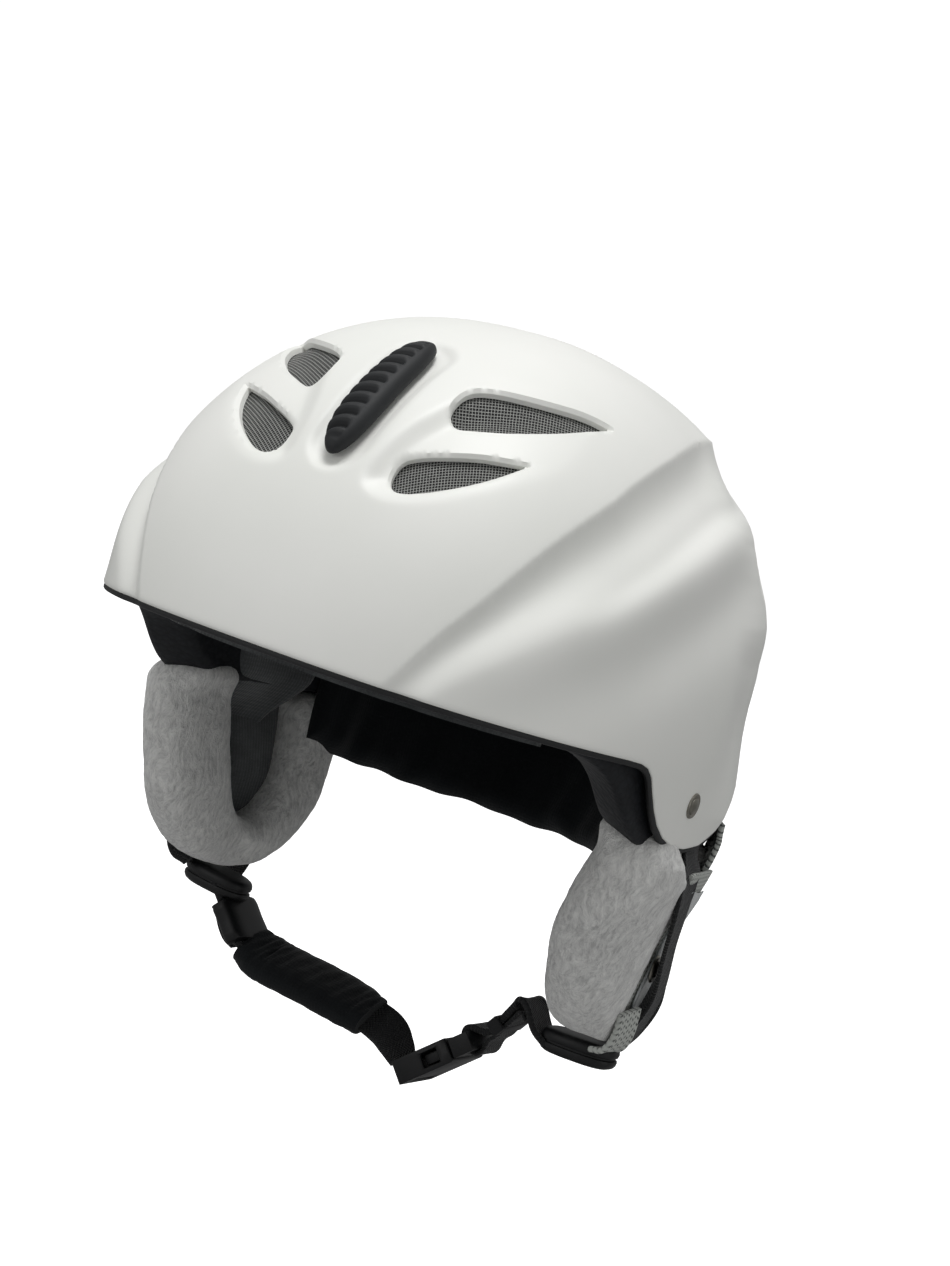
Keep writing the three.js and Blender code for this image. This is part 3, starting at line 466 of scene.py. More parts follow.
# lines and outlines on one half of the map: (across, along), degrees
CREASE = smooth_curve([
    (28.7, -86.5), (29.7, -83.2), (31.2, -79.8), (32.1, -76.6), (34, -70.6), (35.6, -64.4),
    (37.1, -52.9), (37.8, -40.5), (37.2, -34), (36.2, -25.8), (34.1, -14.5), (29.9, -0.4),
    (24.2, 15.6), (18.5, 26.5), (11, 33), (4, 35.6), (-2, 35.8)], 5)
RIDGE = smooth_curve([
    (38, -80), (41.6, -73.3), (44.1, -68.7), (46.7, -62.9), (49, -56.7), (52.1, -46.4),
    (52.8, -32.4), (51.8, -19.5), (48.5, -4.4), (43.5, 13), (36.5, 29), (26, 42), (13, 50),
    (0, 52.5), (-4, 52.5)], 5)
GROOVE = smooth_curve([
    (48.5, -52), (49.3, -40.7), (49, -30.7), (46.7, -16.8), (43, -3), (39.8, 8), (36, 17)], 5)
LOWER_VENT = round_outline([
    (10.3, -58.5), (10.8, -61.9), (13.2, -63.2), (17.5, -60.8), (21.7, -56.8), (24.5, -52.5),
    (26.2, -48.1), (23.2, -50.2), (20, -52.1), (16.6, -54.3), (11.9, -57)], sharp=6)
UPPER_VENT = round_outline([
    (11.1, -45.2), (11.3, -48.6), (13.4, -50.0), (16.2, -48.6), (20.4, -45.7), (24.8, -40.4),
    (27.2, -35.1), (28.4, -30.6), (25.5, -33), (21.6, -36.9), (18.4, -39.3), (15, -41.3),
    (12, -43.2)], sharp=7)
REAR_VENT = round_outline([(38.5, 24), (43.5, 21.5), (45.5, 24.5), (41.5, 29), (38, 29.5)])
SCOOP_INBOARD = [(6.2, -63.6), (6.4, -59.5), (7.5, -54), (9.4, -49.6), (10.6, -45.4)]
SCOOP = round_outline(SCOOP_INBOARD + [
    (14.5, -41.2), (19.5, -38.1), (24.5, -33.2), (29.5, -29.4), (34, -33), (33.5, -41),
    (31, -48), (27.5, -53), (23.6, -58.6), (18.6, -63.2), (13.2, -65.6), (8.6, -65.6)])
SCOOP_EDGE = smooth_curve(SCOOP_INBOARD, 5)

# relief tables: positions along the map (degrees), then heights or depths (mm)
VALLEY_DEPTH = ([-84, -70, -55, -40, -20, 0, 20, 40],
                [1.3, 2.7, 4.0, 4.9, 5.5, 5.2, 4.6, 4.2])
RIDGE_HEIGHT = ([-82, -70, -50, -20, 10, 30, 55], [0, 1.2, 2.2, 2.4, 1.6, 1.2, 1.0])
HOLLOW_DEPTH = ([-80, -60, -30, 0, 30], [0.0, 1.0, 2.2, 2.2, 1.0])
GROOVE_DEPTH = ([-54, -42, -10, 16], [0.0, 1.1, 1.6, 1.2])
# relief towards the back of each side: tilt (degrees), height (mm)
REAR_RELIEF = (
    [28, 31, 33.5, 35.5, 38.3, 41.7, 44.3, 47, 49, 52, 55, 58, 61, 63.5, 65, 67.3, 70, 72.7,
     75.3, 78, 81, 83.7, 86.7, 89.7, 92.3, 96],
    [0, 0.9, 1.5, 1.6, 1.0, -0.1, -1.3, -1.5, -0.8, 0.1, 0.4, 0.3, 0, -1.0, -1.8, -2.9, -3.5,
     -4.2, -4.8, -5.0, -4.8, -4.2, -3.3, -2.3, -1.3, 0])

# lower edges: phi from the front (degrees), height (mm)
SHELL_RIM = (
    [0, 58, 61.5, 63.5, 65.2, 67, 69.5, 72.5, 76.5, 82, 88, 95, 103, 110, 118, 126, 133, 143,
     156, 168, 180],
    [0, 0, -0.3, -1.3, -3.8, -8.6, -14.2, -19.0, -23.0, -26.0, -26.3, -24.8, -19.5, -12.3,
     -5.6, -4.2, -7.5, -18, -28, -31.4, -32])
LINER_RIM = ([0, 46, 53, 58, 62, 66, 71, 77, 105, 120, 140, 160, 180],
             [-1.5, -1.5, -4, -9, -15, -22, -28, -31, -31, -28, -30, -34, -36])

# slider on the centre line, in map degrees
SLIDER_ALONG, SLIDER_HALF_LENGTH, SLIDER_HALF_WIDTH = -49.75, 12.25, 3.25

SHELL_THICK = 3.0
# y of the flat seat for the goggle-strap retainer, and the height of its middle
SEAT_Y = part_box("retainer_base")[0].y * 1000 - 0.3
SEAT_Z = 22


def fold_phi(phi):
    """Angle from the front, 0 to 180 on either side."""
    turned = np.mod(phi, 360)
    return np.where(turned > 180, 360 - turned, turned)


def base_radius(dx, dy, dz, power):
    length = np.where(dy < 0, FRONT_LENGTH, REAR_LENGTH)
    plan = np.abs(dx / HALF_WIDTH) ** power + np.abs(dy / length) ** power
    return (plan ** (RISE_POWER / power)
            + np.abs(dz / CROWN_HEIGHT) ** RISE_POWER) ** (-1 / RISE_POWER)


def shell_radius(phi, tilt, detail=True):
    """Radius (mm) of the shell's outer face; detail adds the scoops and slider recess."""
    phi, tilt = np.broadcast_arrays(np.asarray(phi, float), np.asarray(tilt, float))
    sine = np.sin(tilt * RAD)
    direction = sine * np.sin(phi * RAD), -sine * np.cos(phi * RAD), np.cos(tilt * RAD)
    across, along = np.abs(tilt * np.sin(phi * RAD)), -tilt * np.cos(phi * RAD)
    radius = base_radius(*direction, PLAN_POWER)
    crease = line_distance(CREASE, across, along)
    ridge = line_distance(RIDGE, across, along)
    below = crease > 0
    # a rounder plan behind and below the crease
    rear = base_radius(*direction, REAR_PLAN_POWER)
    share = smoothstep(0, 9, crease) * (direction[1] > 0)
    radius = np.where(below, radius + (rear - radius) * share, radius)
    # valley between crease and ridge
    t = np.clip(crease / np.maximum(crease - ridge, 1e-6), 0, 1)
    valley = np.interp(along, *VALLEY_DEPTH) * 6.75 * t * (1 - t) ** 2
    radius = np.where(below & (ridge < 0), radius - valley, radius)
    # soft ridge line and the hollow under it
    swell = np.interp(along, *RIDGE_HEIGHT) * np.exp(-(ridge / 5.5) ** 2)
    radius = np.where(below, radius + swell * smoothstep(0, 6, crease), radius)
    hollow = np.interp(along, *HOLLOW_DEPTH) * (ridge / 9.0) ** 2
    radius = np.where(ridge > 0, radius - hollow * np.exp(1 - (ridge / 9.0) ** 2), radius)
    groove = line_distance(GROOVE, across, along)
    cut = np.interp(along, *GROOVE_DEPTH) * np.exp(-(groove / 2.3) ** 2)
    radius = np.where(below, radius - cut, radius)
    turned = fold_phi(phi)
    radius = radius + (np.interp(tilt, *REAR_RELIEF) * smoothstep(84, 106, turned)
                       * (1 - smoothstep(128, 162, turned)))
    if detail:
        # scoop around the front vents, deepest along its inboard edge
        scoop = outline_distance(SCOOP, across, along)
        edge = np.abs(line_distance(SCOOP_EDGE, across, along))
        fade = np.clip(1 - (edge - 1.5) / 18.0, 0, 1)
        radius = radius - 3.5 * smoothstep(0, 4.2, -scoop) * fade
        # recess round the slider
        beyond = np.maximum(0, np.abs(along - SLIDER_ALONG) - 9.1)
        recess = np.hypot(across, beyond) - SLIDER_HALF_WIDTH
        radius = radius - 1.9 * (1 - smoothstep(0.5, 2.6, recess))
        # dip round the rear vent, fading out towards the front
        vent = outline_distance(REAR_VENT, across, along)
        radius = radius - (3.0 * (1 - smoothstep(0.0, 6.0, vent))
                           * smoothstep(15, 26, along + 0.6 * (across - 40)))
    return radius


def direction_point(radius, phi, tilt):
    sine = np.sin(tilt * RAD)
    return np.stack([radius * sine * np.sin(phi * RAD), -radius * sine * np.cos(phi * RAD),
                     CENTRE_Z + radius * np.cos(tilt * RAD)], -1)


def surface(phi, tilt, offset=0.0, detail=True):
    """Points at an offset (mm, outward) from the shell's outer face."""
    phi, tilt = np.broadcast_arrays(np.asarray(phi, float), np.asarray(tilt, float))
    return direction_point(shell_radius(phi, tilt, detail) + offset, phi, tilt)


def map_angles(across, along):
    return np.degrees(np.arctan2(across, -along)), np.hypot(across, along)


def map_surface(across, along, offset, detail=True):
    phi, tilt = map_angles(across, along)
    return surface(phi, tilt + 1e-6, offset, detail)


def tilt_at(phi, z, offset=0.0):
    """Tilt at which the offset surface, without detail, is at height z."""
    phi, z = np.broadcast_arrays(np.asarray(phi, float), np.asarray(z, float))
    low, high = np.full(phi.shape, 20.0), np.full(phi.shape, 150.0)
    for _ in range(26):
        middle = (low + high) / 2
        above = surface(phi, middle, offset, False)[..., 2] > z
        low, high = np.where(above, middle, low), np.where(above, high, middle)
    return low


def surface_at_height(phi, z, offset=0.0):
    return surface(phi, tilt_at(phi, z, offset), offset, False)


def shell_rim_z(phi):
    return np.interp(fold_phi(phi), *SHELL_RIM)


def liner_rim_z(phi):
    """The liner's lower edge, averaged over a few degrees."""
    total = 0
    for step in (-2.4, -1.2, 0, 1.2, 2.4):
        total = total + np.interp(fold_phi(fold_phi(phi) + step), *LINER_RIM)
    return total / 5


# ------------------------------------------------------------------ node graphs
def srgb(*levels):
    """Linear colour from 0-255 levels."""
    linear = [(v / 255 / 12.92) if v / 255 <= 0.04045 else ((v / 255 + 0.055) / 1.055) ** 2.4
              for v in levels]
    return (*linear, 1.0)


class NodeGraph:
    """Short calls for adding and wiring the nodes of one tree."""

    def __init__(self, tree):
        self.tree = tree
        tree.nodes.clear()

    def add(self, kind, inputs=None, **settings):
        """Adds a node; an input is a value, or a socket to link from."""
        node = self.tree.nodes.new("ShaderNode" + kind)
        for name, value in settings.items():
            setattr(node, name, value)
        for key, value in (inputs or {}).items():
            if isinstance(value, bpy.types.NodeSocket):
                self.tree.links.new(value, node.inputs[key])
            else:
                node.inputs[key].default_value = value
        return node

    def object_position(self):
        return self.add("TexCoord").outputs["Object"]

    def strap_position(self):
        """The piece's own (along, across) coordinates, mm."""
        uv = self.add("UVMap", uv_map="strap")
        return self.add("SeparateXYZ", {0: uv.outputs[0]}).outputs[:2]

    def noise(self, scale, detail, roughness, vector=None, output="Fac"):
        if vector is None:
            vector = self.object_position()
        return self.add("TexNoise", {"Scale": scale, "Detail": detail, "Roughness": roughness,
                                     "Vector": vector}).outputs[output]

    def ramp(self, source, *stops):
        node = self.add("ValToRGB", {0: source})
        elements = node.color_ramp.elements
        while len(elements) < len(stops):
            elements.new(0.5)
        for element, (position, colour) in zip(elements, stops):
            element.position = position
            element.color = colour
        return node.outputs[0]

    def math(self, operation, *values, clamp=False):
        inputs = dict(enumerate(values))
        return self.add("Math", inputs, operation=operation, use_clamp=clamp).outputs[0]

    def plus(self, *values):
        return self.math("ADD", *values)

    def times(self, *values):
        return self.math("MULTIPLY", *values)

    def wave(self, position, pitch):
        return self.math("SINE", self.times(position, TURN / pitch))

    def between(self, source, low, high):
        return self.add("MapRange", {"To Min": low, "To Max": high, "Value": source}).outputs[0]

    def bump(self, height, strength, distance):
        return self.add("Bump", {"Strength": strength, "Distance": distance,
                                 "Height": height}).outputs[0]

    def mix_shaders(self, fraction, first, second):
        return self.add("MixShader", {0: fraction, 1: first, 2: second}).outputs[0]

    def camera_ray(self):
        return self.add("LightPath").outputs["Is Camera Ray"]


class MaterialGraph(NodeGraph):
    def __init__(self, name):
        self.material = bpy.data.materials.new(name)
        self.material.use_nodes = True
        super().__init__(self.material.node_tree)

    def output(self, shader):
        self.add("OutputMaterial", {0: shader})
        return self.material

    def finish(self, inputs):
        return self.output(self.add("BsdfPrincipled", inputs).outputs[0])


# ------------------------------------------------------------------ materials
def shell_material():
    graph = MaterialGraph("satin_white_shell")
    tone = graph.ramp(graph.noise(scale=14, detail=3, roughness=0.5),
                      (0.3, srgb(238, 239, 234)), (0.7, srgb(244, 244, 240)))
    scuffs = graph.ramp(graph.noise(scale=420, detail=5, roughness=0.7),
                        (0.74, (1, 1, 1, 1)), (0.80, (0.86, 0.86, 0.84, 1)))
    # input 0 is the factor, 6 and 7 the two colours
    colour = graph.add("Mix", {0: 0.5, 6: tone, 7: scuffs},
                       data_type="RGBA", blend_type="MULTIPLY").outputs[2]
    gloss = graph.noise(scale=60, detail=4, roughness=0.6)
    peel = graph.noise(scale=900, detail=2, roughness=0.5)
    return graph.finish({
        "Base Color": colour,
        "Roughness": graph.between(gloss, low=0.40, high=0.50),
        "Specular IOR Level": 0.42,
        "Coat Weight": 0.08,
        "Coat Roughness": 0.35,
        "Normal": graph.bump(peel, strength=0.10, distance=0.00008)})


def plastic_material(name, colour, roughness, grain, strength, specular=0.5):
    """Moulded plastic; grain and strength are the bump's scale and depth."""
    graph = MaterialGraph(name)
    fine = graph.noise(scale=grain, detail=3, roughness=0.6)
    cloud = graph.noise(scale=90, detail=4, roughness=0.6)
    dark = (*(v * 0.8 for v in colour[:3]), 1)
    light = (*(min(1, v * 1.25 + 0.002) for v in colour[:3]), 1)
    return graph.finish({
        "Base Color": graph.ramp(cloud, (0.3, dark), (0.75, light)),
        "Roughness": graph.between(cloud, low=roughness - 0.07, high=roughness + 0.08),
        "Specular IOR Level": specular,
        "Normal": graph.bump(fine, strength=strength, distance=0.0001)})


def foam_material():
    graph = MaterialGraph("black_bead_foam")
    beads = graph.add("TexVoronoi", {"Scale": 420, "Vector": graph.object_position()})
    distance = beads.outputs["Distance"]
    height = graph.math("SUBTRACT", 1.0, distance)
    # bead centres are lighter and the seams between beads darker, following the bump: painted
    # shade between the beads
    return graph.finish({
        "Base Color": graph.ramp(distance, (0.0, srgb(24, 27, 32)), (0.75, srgb(13, 15, 19))),
        "Roughness": 0.62,
        "Specular IOR Level": 0.3,
        "Normal": graph.bump(height, strength=0.5, distance=0.0004)})


def fabric_material(name, dark, light, pitch, roughness, sheen, strength, cloud_scale):
    """Fine knit: crossed waves in object space, with slow colour change."""
    graph = MaterialGraph(name)
    position = graph.object_position()
    waves = [graph.add("TexWave", {"Scale": pitch / 6.283, "Distortion": 0.6, "Detail": 1.0,
                                   "Detail Scale": 3.0, "Vector": position},
                       bands_direction=axis).outputs["Fac"] for axis in "XYZ"]
    knit = graph.plus(graph.plus(waves[0], waves[1]), waves[2])
    cloud = graph.noise(scale=cloud_scale, detail=4, roughness=0.55)
    fine = graph.noise(scale=1800, detail=2, roughness=0.6)
    tone = graph.plus(graph.times(cloud, 0.7), graph.times(fine, 0.3))
    height = graph.plus(graph.times(knit, 0.33), graph.times(fine, 0.6))
    return graph.finish({
        "Base Color": graph.ramp(tone, (0.35, dark), (0.65, light)),
        "Roughness": roughness,
        "Specular IOR Level": 0.2,
        "Sheen Weight": sheen,
        "Sheen Roughness": 0.5,
        "Normal": graph.bump(height, strength=strength, distance=0.0003)})


def plush_material():
    """Short-pile plush: tufted noise that leans, with light tips and darker roots; the colour
    follows the tufts' height, so the roots carry painted shade.
    """
    graph = MaterialGraph("grey_plush")
    position = graph.object_position()
    warp = graph.noise(scale=70, detail=3, roughness=0.5, vector=position, output="Color")
    # input 0 is the factor, 4 and 5 the two vectors
    warped = graph.add("Mix", {0: 0.012, 4: position, 5: warp}, data_type="VECTOR").outputs[1]
    leaning = graph.add("Mapping", {"Vector": warped, "Scale": (1.0, 1.0, 0.38),
                                    "Rotation": (0.35, 0.25, 0.0)}).outputs[0]
    tuft = graph.noise(scale=620, detail=3, roughness=0.65, vector=leaning)
    fibre = graph.noise(scale=2400, detail=2, roughness=0.6, vector=leaning)
    cloud = graph.noise(scale=42, detail=3, roughness=0.55)
    # the tuft noise lifts both colour and bump: painted shade low in the pile
    tone = graph.plus(graph.times(tuft, 0.62),
                      graph.plus(graph.times(cloud, 0.20), graph.times(fibre, 0.18)))
    height = graph.plus(graph.times(tuft, 0.75), graph.times(fibre, 0.35))
    return graph.finish({
        "Base Color": graph.ramp(tone, (0.36, srgb(182, 182, 181)), (0.5, srgb(214, 214, 212)),
                                 (0.64, srgb(236, 236, 233))),
        "Roughness": 0.95,
        "Specular IOR Level": 0.15,
        "Sheen Weight": 0.55,
        "Sheen Roughness": 0.45,
        "Normal": graph.bump(height, strength=0.8, distance=0.0012)})


def webbing_material():
    """Woven tape: ribs across and along, with a twill between them."""
    graph = MaterialGraph("black_webbing")
    along, across = graph.strap_position()
    ribs = graph.times(graph.wave(along, pitch=1.3), graph.wave(across, pitch=1.6))
    twill = graph.wave(graph.plus(along, across), pitch=1.8)
    height = graph.plus(ribs, graph.times(twill, 0.6))
    # the colour follows the weave's height: painted shade in its grooves, lighter on the raised
    # ribs
    tone = graph.math("ADD", graph.times(height, 0.25), 0.5, clamp=True)
    return graph.finish({
        "Base Color": graph.ramp(tone, (0.0, srgb(3, 4, 6)), (1.0, srgb(25, 26, 28))),
        "Roughness": 0.72,
        "Specular IOR Level": 0.35,
        "Sheen Weight": 0.15,
        "Normal": graph.bump(height, strength=0.6, distance=0.00025)})


def steel_material():
    graph = MaterialGraph("worn_nickel")
    grain = graph.noise(scale=800, detail=4, roughness=0.7)
    cloud = graph.noise(scale=150, detail=3, roughness=0.5)
    bright = srgb(150, 147, 138)
    worn = (*(v * 0.6 for v in bright[:3]), 1)
    return graph.finish({
        "Base Color": graph.ramp(cloud, (0.3, worn), (0.7, bright)),
        "Metallic": 1.0,
        "Roughness": graph.between(grain, low=0.25, high=0.5),
        "Normal": graph.bump(grain, strength=0.15, distance=0.0001)})


def clear_material():
    graph = MaterialGraph("clear_stiffener")
    cloud = graph.noise(scale=50, detail=3, roughness=0.5)
    fine = graph.noise(scale=700, detail=3, roughness=0.5)
    return graph.finish({
        "Base Color": graph.ramp(cloud, (0.3, srgb(214, 219, 220)), (0.7, srgb(232, 235, 235))),
        "Roughness": 0.22,
        "Transmission Weight": 0.35,
        "IOR": 1.49,
        "Normal": graph.bump(fine, strength=0.15, distance=0.0002)})


def screen_material():
    """Woven metal screen: two sets of wires at right angles, slanted to the sheet."""
    graph = MaterialGraph("woven_screen")
    along, across = graph.strap_position()
    first = graph.plus(graph.times(along, 0.80), graph.times(across, 0.60))
    second = graph.math("SUBTRACT", graph.times(along, 0.60), graph.times(across, 0.80))
    height = graph.math("MAXIMUM", graph.wave(first, pitch=1.1), graph.wave(second, pitch=1.1))
    # the colour follows the wires' height: lighter crests are a painted highlight, and the
    # near-black gaps are painted shade for the dark space behind the screen
    tone = graph.math("ADD", graph.times(height, 0.5), 0.5, clamp=True)
    return graph.finish({
        "Base Color": graph.ramp(tone, (0.52, srgb(6, 7, 7)), (0.68, srgb(26, 27, 26)),
                                 (0.88, srgb(118, 119, 116)), (1.0, srgb(168, 169, 166))),
        "Roughness": 0.5,
        "Specular IOR Level": 0.4,
        "Normal": graph.bump(height, strength=0.9, distance=0.0004)})


def knit_material():
    """Pale mesh fabric with zig-zag rows of holes."""
    graph = MaterialGraph("grey_mesh_fabric")
    along, across = graph.strap_position()
    zigzag = graph.times(graph.wave(across, pitch=3.4), 1.5)
    rows = graph.math("SINE", graph.plus(graph.times(along, TURN / 2.3), zigzag))
    gaps = graph.plus(graph.times(graph.wave(across, pitch=1.7), 0.5), 0.5)
    holes = graph.times(graph.math("MAXIMUM", rows, 0.0), gaps)
    fine = graph.noise(scale=1800, detail=3, roughness=0.6)
    # the colour darkens with the depth of the bump: painted shade inside the holes
    depth = graph.plus(holes, graph.times(fine, 0.2))
    height = graph.math("SUBTRACT", 1.0, depth)
    return graph.finish({
        "Base Color": graph.ramp(depth, (0.15, srgb(186, 189, 184)), (0.5, srgb(158, 161, 157)),
                                 (0.9, srgb(88, 92, 90))),
        "Roughness": 0.9,
        "Specular IOR Level": 0.2,
        "Sheen Weight": 0.2,
        "Normal": graph.bump(height, strength=0.8, distance=0.0006)})


SHELL_WHITE = shell_material()
FOAM = foam_material()
TRIM = plastic_material("black_edge_trim", srgb(17, 18, 20),
                        roughness=0.6, grain=900, strength=0.3)
ACETAL = plastic_material("black_acetal", srgb(12, 13, 15),
                          roughness=0.46, grain=1400, strength=0.22, specular=0.35)
CARRIER = plastic_material("black_carrier", srgb(24, 25, 27),
                           roughness=0.5, grain=900, strength=0.3)
RUBBER = plastic_material("black_rubber", srgb(30, 32, 34),
                          roughness=0.62, grain=1300, strength=0.45, specular=0.4)
LINING = fabric_material("black_lining", srgb(9, 12, 15), srgb(21, 25, 27), pitch=1500,
                         roughness=0.85, sheen=0.12, strength=0.35, cloud_scale=25)
# grey fleece of the brow pad; on the plush inside the helmet it stands for painted shade
FLEECE_AND_PAINTED_SHADE = fabric_material("grey_fleece_and_painted_shade", srgb(62, 65, 66), srgb(92, 95, 96), pitch=1200,
                         roughness=0.95, sheen=0.4, strength=0.8, cloud_scale=60)
PLUSH = plush_material()
WEBBING = webbing_material()
STEEL = steel_material()
CLEAR = clear_material()
SCREEN = screen_material()
KNIT = knit_material()


# ------------------------------------------------------------------ pierced skins
def vent_distance(across, along):
    """Map distance to the nearest vent on either side, negative inside."""
    across = np.abs(across)
    return np.minimum(np.minimum(outline_distance(LOWER_VENT, across, along),
                                 outline_distance(UPPER_VENT, across, along)),
                      outline_distance(REAR_VENT, across, along))


def snap(across, along, distance, limit):
    """Moves points closer than limit to the zero line of distance onto it."""
    step = 0.02
    for _ in range(2):
        value = distance(across, along)
        slope_x = (distance(across + step, along) - distance(across - step, along)) / (2 * step)
        slope_y = (distance(across, along + step) - distance(across, along - step)) / (2 * step)
        slope2 = np.maximum(slope_x * slope_x + slope_y * slope_y, 1e-6)
        near = np.abs(value) < limit
        across = np.where(near, across - value * slope_x / slope2, across)
        along = np.where(near, along - value * slope_y / slope2, along)
    return across, along


def map_grid(around, rim_z, steps, last_rows, mm_per_degree):
    """Map points in rings from crown to rim, with extra rings close to the rim.

    last_rows places the extra rings in steps from the rim. Returns the map positions, the
    spacing round and down the grid, and the distance from the rim in mm.
    """
    phi = np.arange(around) * 360.0 / around
    rim_tilt = tilt_at(phi, rim_z(phi))
    fraction = np.linspace(0, 1, steps + 1)[1:-1]
    fraction = np.concatenate([fraction, 1 - np.array(last_rows) / steps, [1.0]])
    tilt = fraction[:, None] * rim_tilt[None, :]
    across, along = tilt * np.sin(phi * RAD), -tilt * np.cos(phi * RAD)
    spacing = tilt * (TURN / around), np.broadcast_to(rim_tilt / steps, tilt.shape)
    rim_distance = (1 - fraction)[:, None] * rim_tilt[None, :] * mm_per_degree
    return across, along, spacing, rim_distance


def edge_drop(distance, radius):
    """How far a rounded edge falls away at a distance from it."""
    fall = radius - np.sqrt(np.clip(radius * radius - (radius - distance) ** 2, 0, None))
    return np.where(distance < radius, fall, 0)


def flatten_seat(points, seat_y, half_width, half_height):
    """Presses points behind seat_y flat; each half size gives the (outer, inner) blend."""
    over = np.clip(points[..., 1] - seat_y, 0, None)
    inside = (smoothstep(*half_width, np.abs(points[..., 0]))
              * smoothstep(*half_height, np.abs(points[..., 2] - SEAT_Z)))
    points[..., 1] -= over * inside
    return points


def cut_side(distance):
    """-1 inside an opening, 0 on its edge, 1 outside; one value to each point."""
    return np.where(distance < -0.02, -1, np.where(distance > 0.02, 1, 0)).reshape(-1)


def grid_quads(rows, around):
    row, column = np.meshgrid(np.arange(rows - 1), np.arange(around), indexing="ij")
    after = (column + 1) % around
    return np.stack([row * around + column, (row + 1) * around + column,
                     (row + 1) * around + after, row * around + after], -1).reshape(-1, 4)


def two_skins(name, outer, inner, poles, faces, collect, material, outward=True):
    """Closed body of an outer and an inner skin, joined by walls at the rim and openings.

    faces are the outer skin's, without the fan round its pole. collect gathers the directed
    edges (dict.fromkeys or set), and its order is the order of the wall faces.
    """
    rows, around = outer.shape[:2]
    count = rows * around
    verts = np.concatenate([outer.reshape(-1, 3), inner.reshape(-1, 3), poles])
    faces = faces + [(2 * count, i, (i + 1) % around) for i in range(around)]
    edges = collect((a, b) for face in faces for a, b in zip(face, face[1:] + face[:1]))

    def under(i):
        return 2 * count + 1 if i == 2 * count else i + count

    inner_faces = [tuple(under(i) for i in reversed(face)) for face in faces]
    walls = [(b, a, under(a), under(b)) for (a, b) in edges if (b, a) not in edges]
    faces = faces + inner_faces + walls
    used = np.unique(np.concatenate([np.array(face) for face in faces]))
    renumber = -np.ones(len(verts), int)
    renumber[used] = np.arange(len(used))
    faces = [tuple(renumber[list(face)]) for face in faces]
    return mesh_object(name, verts[used], faces, material, outward)


CROWN_Z = CENTRE_Z + float(shell_radius(0, 0.001))


def shell_faces(across, along, distance):
    """Quads clear of the vents, and triangles where one corner falls in a vent."""
    side = cut_side(distance)
    quads = grid_quads(*distance.shape)
    sides = side[quads]
    middle = vent_distance(across.reshape(-1)[quads].mean(1), along.reshape(-1)[quads].mean(1))
    whole = (sides >= 0).all(1) & ~((sides == 0).all(1) & (middle < 0))
    faces = [tuple(quad) for quad in quads[whole]]
    part = (~whole) & ((sides < 0).sum(1) == 1)
    for quad, corners in zip(quads[part], sides[part]):
        k = int(np.argmin(corners))
        triangle = [quad[(k + 1) % 4], quad[(k + 2) % 4], quad[(k + 3) % 4]]
        if side[triangle].max() > 0:
            faces.append(tuple(triangle))
    return faces


def build_shell():
    vent_radius, rim_radius = 1.15, 1.25  # edge rounding, mm
    across, along, (round_gap, down_gap), rim_distance = map_grid(
        around=640, rim_z=shell_rim_z, steps=180, last_rows=(0.62, 0.3), mm_per_degree=2.3)
    free = rim_distance > 3.0

    def crease(u, v):
        return line_distance(CREASE, np.abs(u), v)

    def vent_margin(u, v):
        """Zero on a line half a degree outside the vents."""
        distance = vent_distance(u, v)
        return np.where(distance > 0.12, distance - 0.5, 9.0)

    limit = np.where(free, 0.42 * np.minimum(round_gap, down_gap), 0.0)
    across, along = snap(across, along, crease, limit)
    limit = np.where(free, 0.52 * np.maximum(round_gap, down_gap), 0.0)
    across, along = snap(across, along, vent_distance, limit)
    across, along = snap(across, along, vent_margin, np.where(free, 0.30, 0.0))
    phi, tilt = map_angles(across, along)
    distance = vent_distance(across, along)
    radius = shell_radius(phi, tilt)

    def place(at_radius):
        return flatten_seat(direction_point(at_radius, phi, tilt), SEAT_Y,
                            half_width=(21.5, 19.0), half_height=(16.5, 14.5))

    outer = place(radius - edge_drop(np.clip(distance * 2.3, 0, None), vent_radius)
                  - edge_drop(rim_distance, rim_radius))
    rim_round = 0.4 * (rim_distance < rim_radius) * (1 - rim_distance / rim_radius)
    inner = place(radius - SHELL_THICK - rim_round)
    poles = np.array([[0, 0, CROWN_Z], [0, 0, CROWN_Z - SHELL_THICK]])
    ob = two_skins("outer_shell_skin", outer, inner, poles, shell_faces(across, along, distance),
                   dict.fromkeys, SHELL_WHITE, outward=False)
    # snapping can leave slivers, which go before the faces are turned outward
    bm = bmesh.new()
    bm.from_mesh(ob.data)
    bmesh.ops.dissolve_degenerate(bm, dist=2e-6, edges=bm.edges)
    face_outward(bm)
    mark_sharp(bm, 38)
    bm.to_mesh(ob.data)
    bm.free()
    return ob


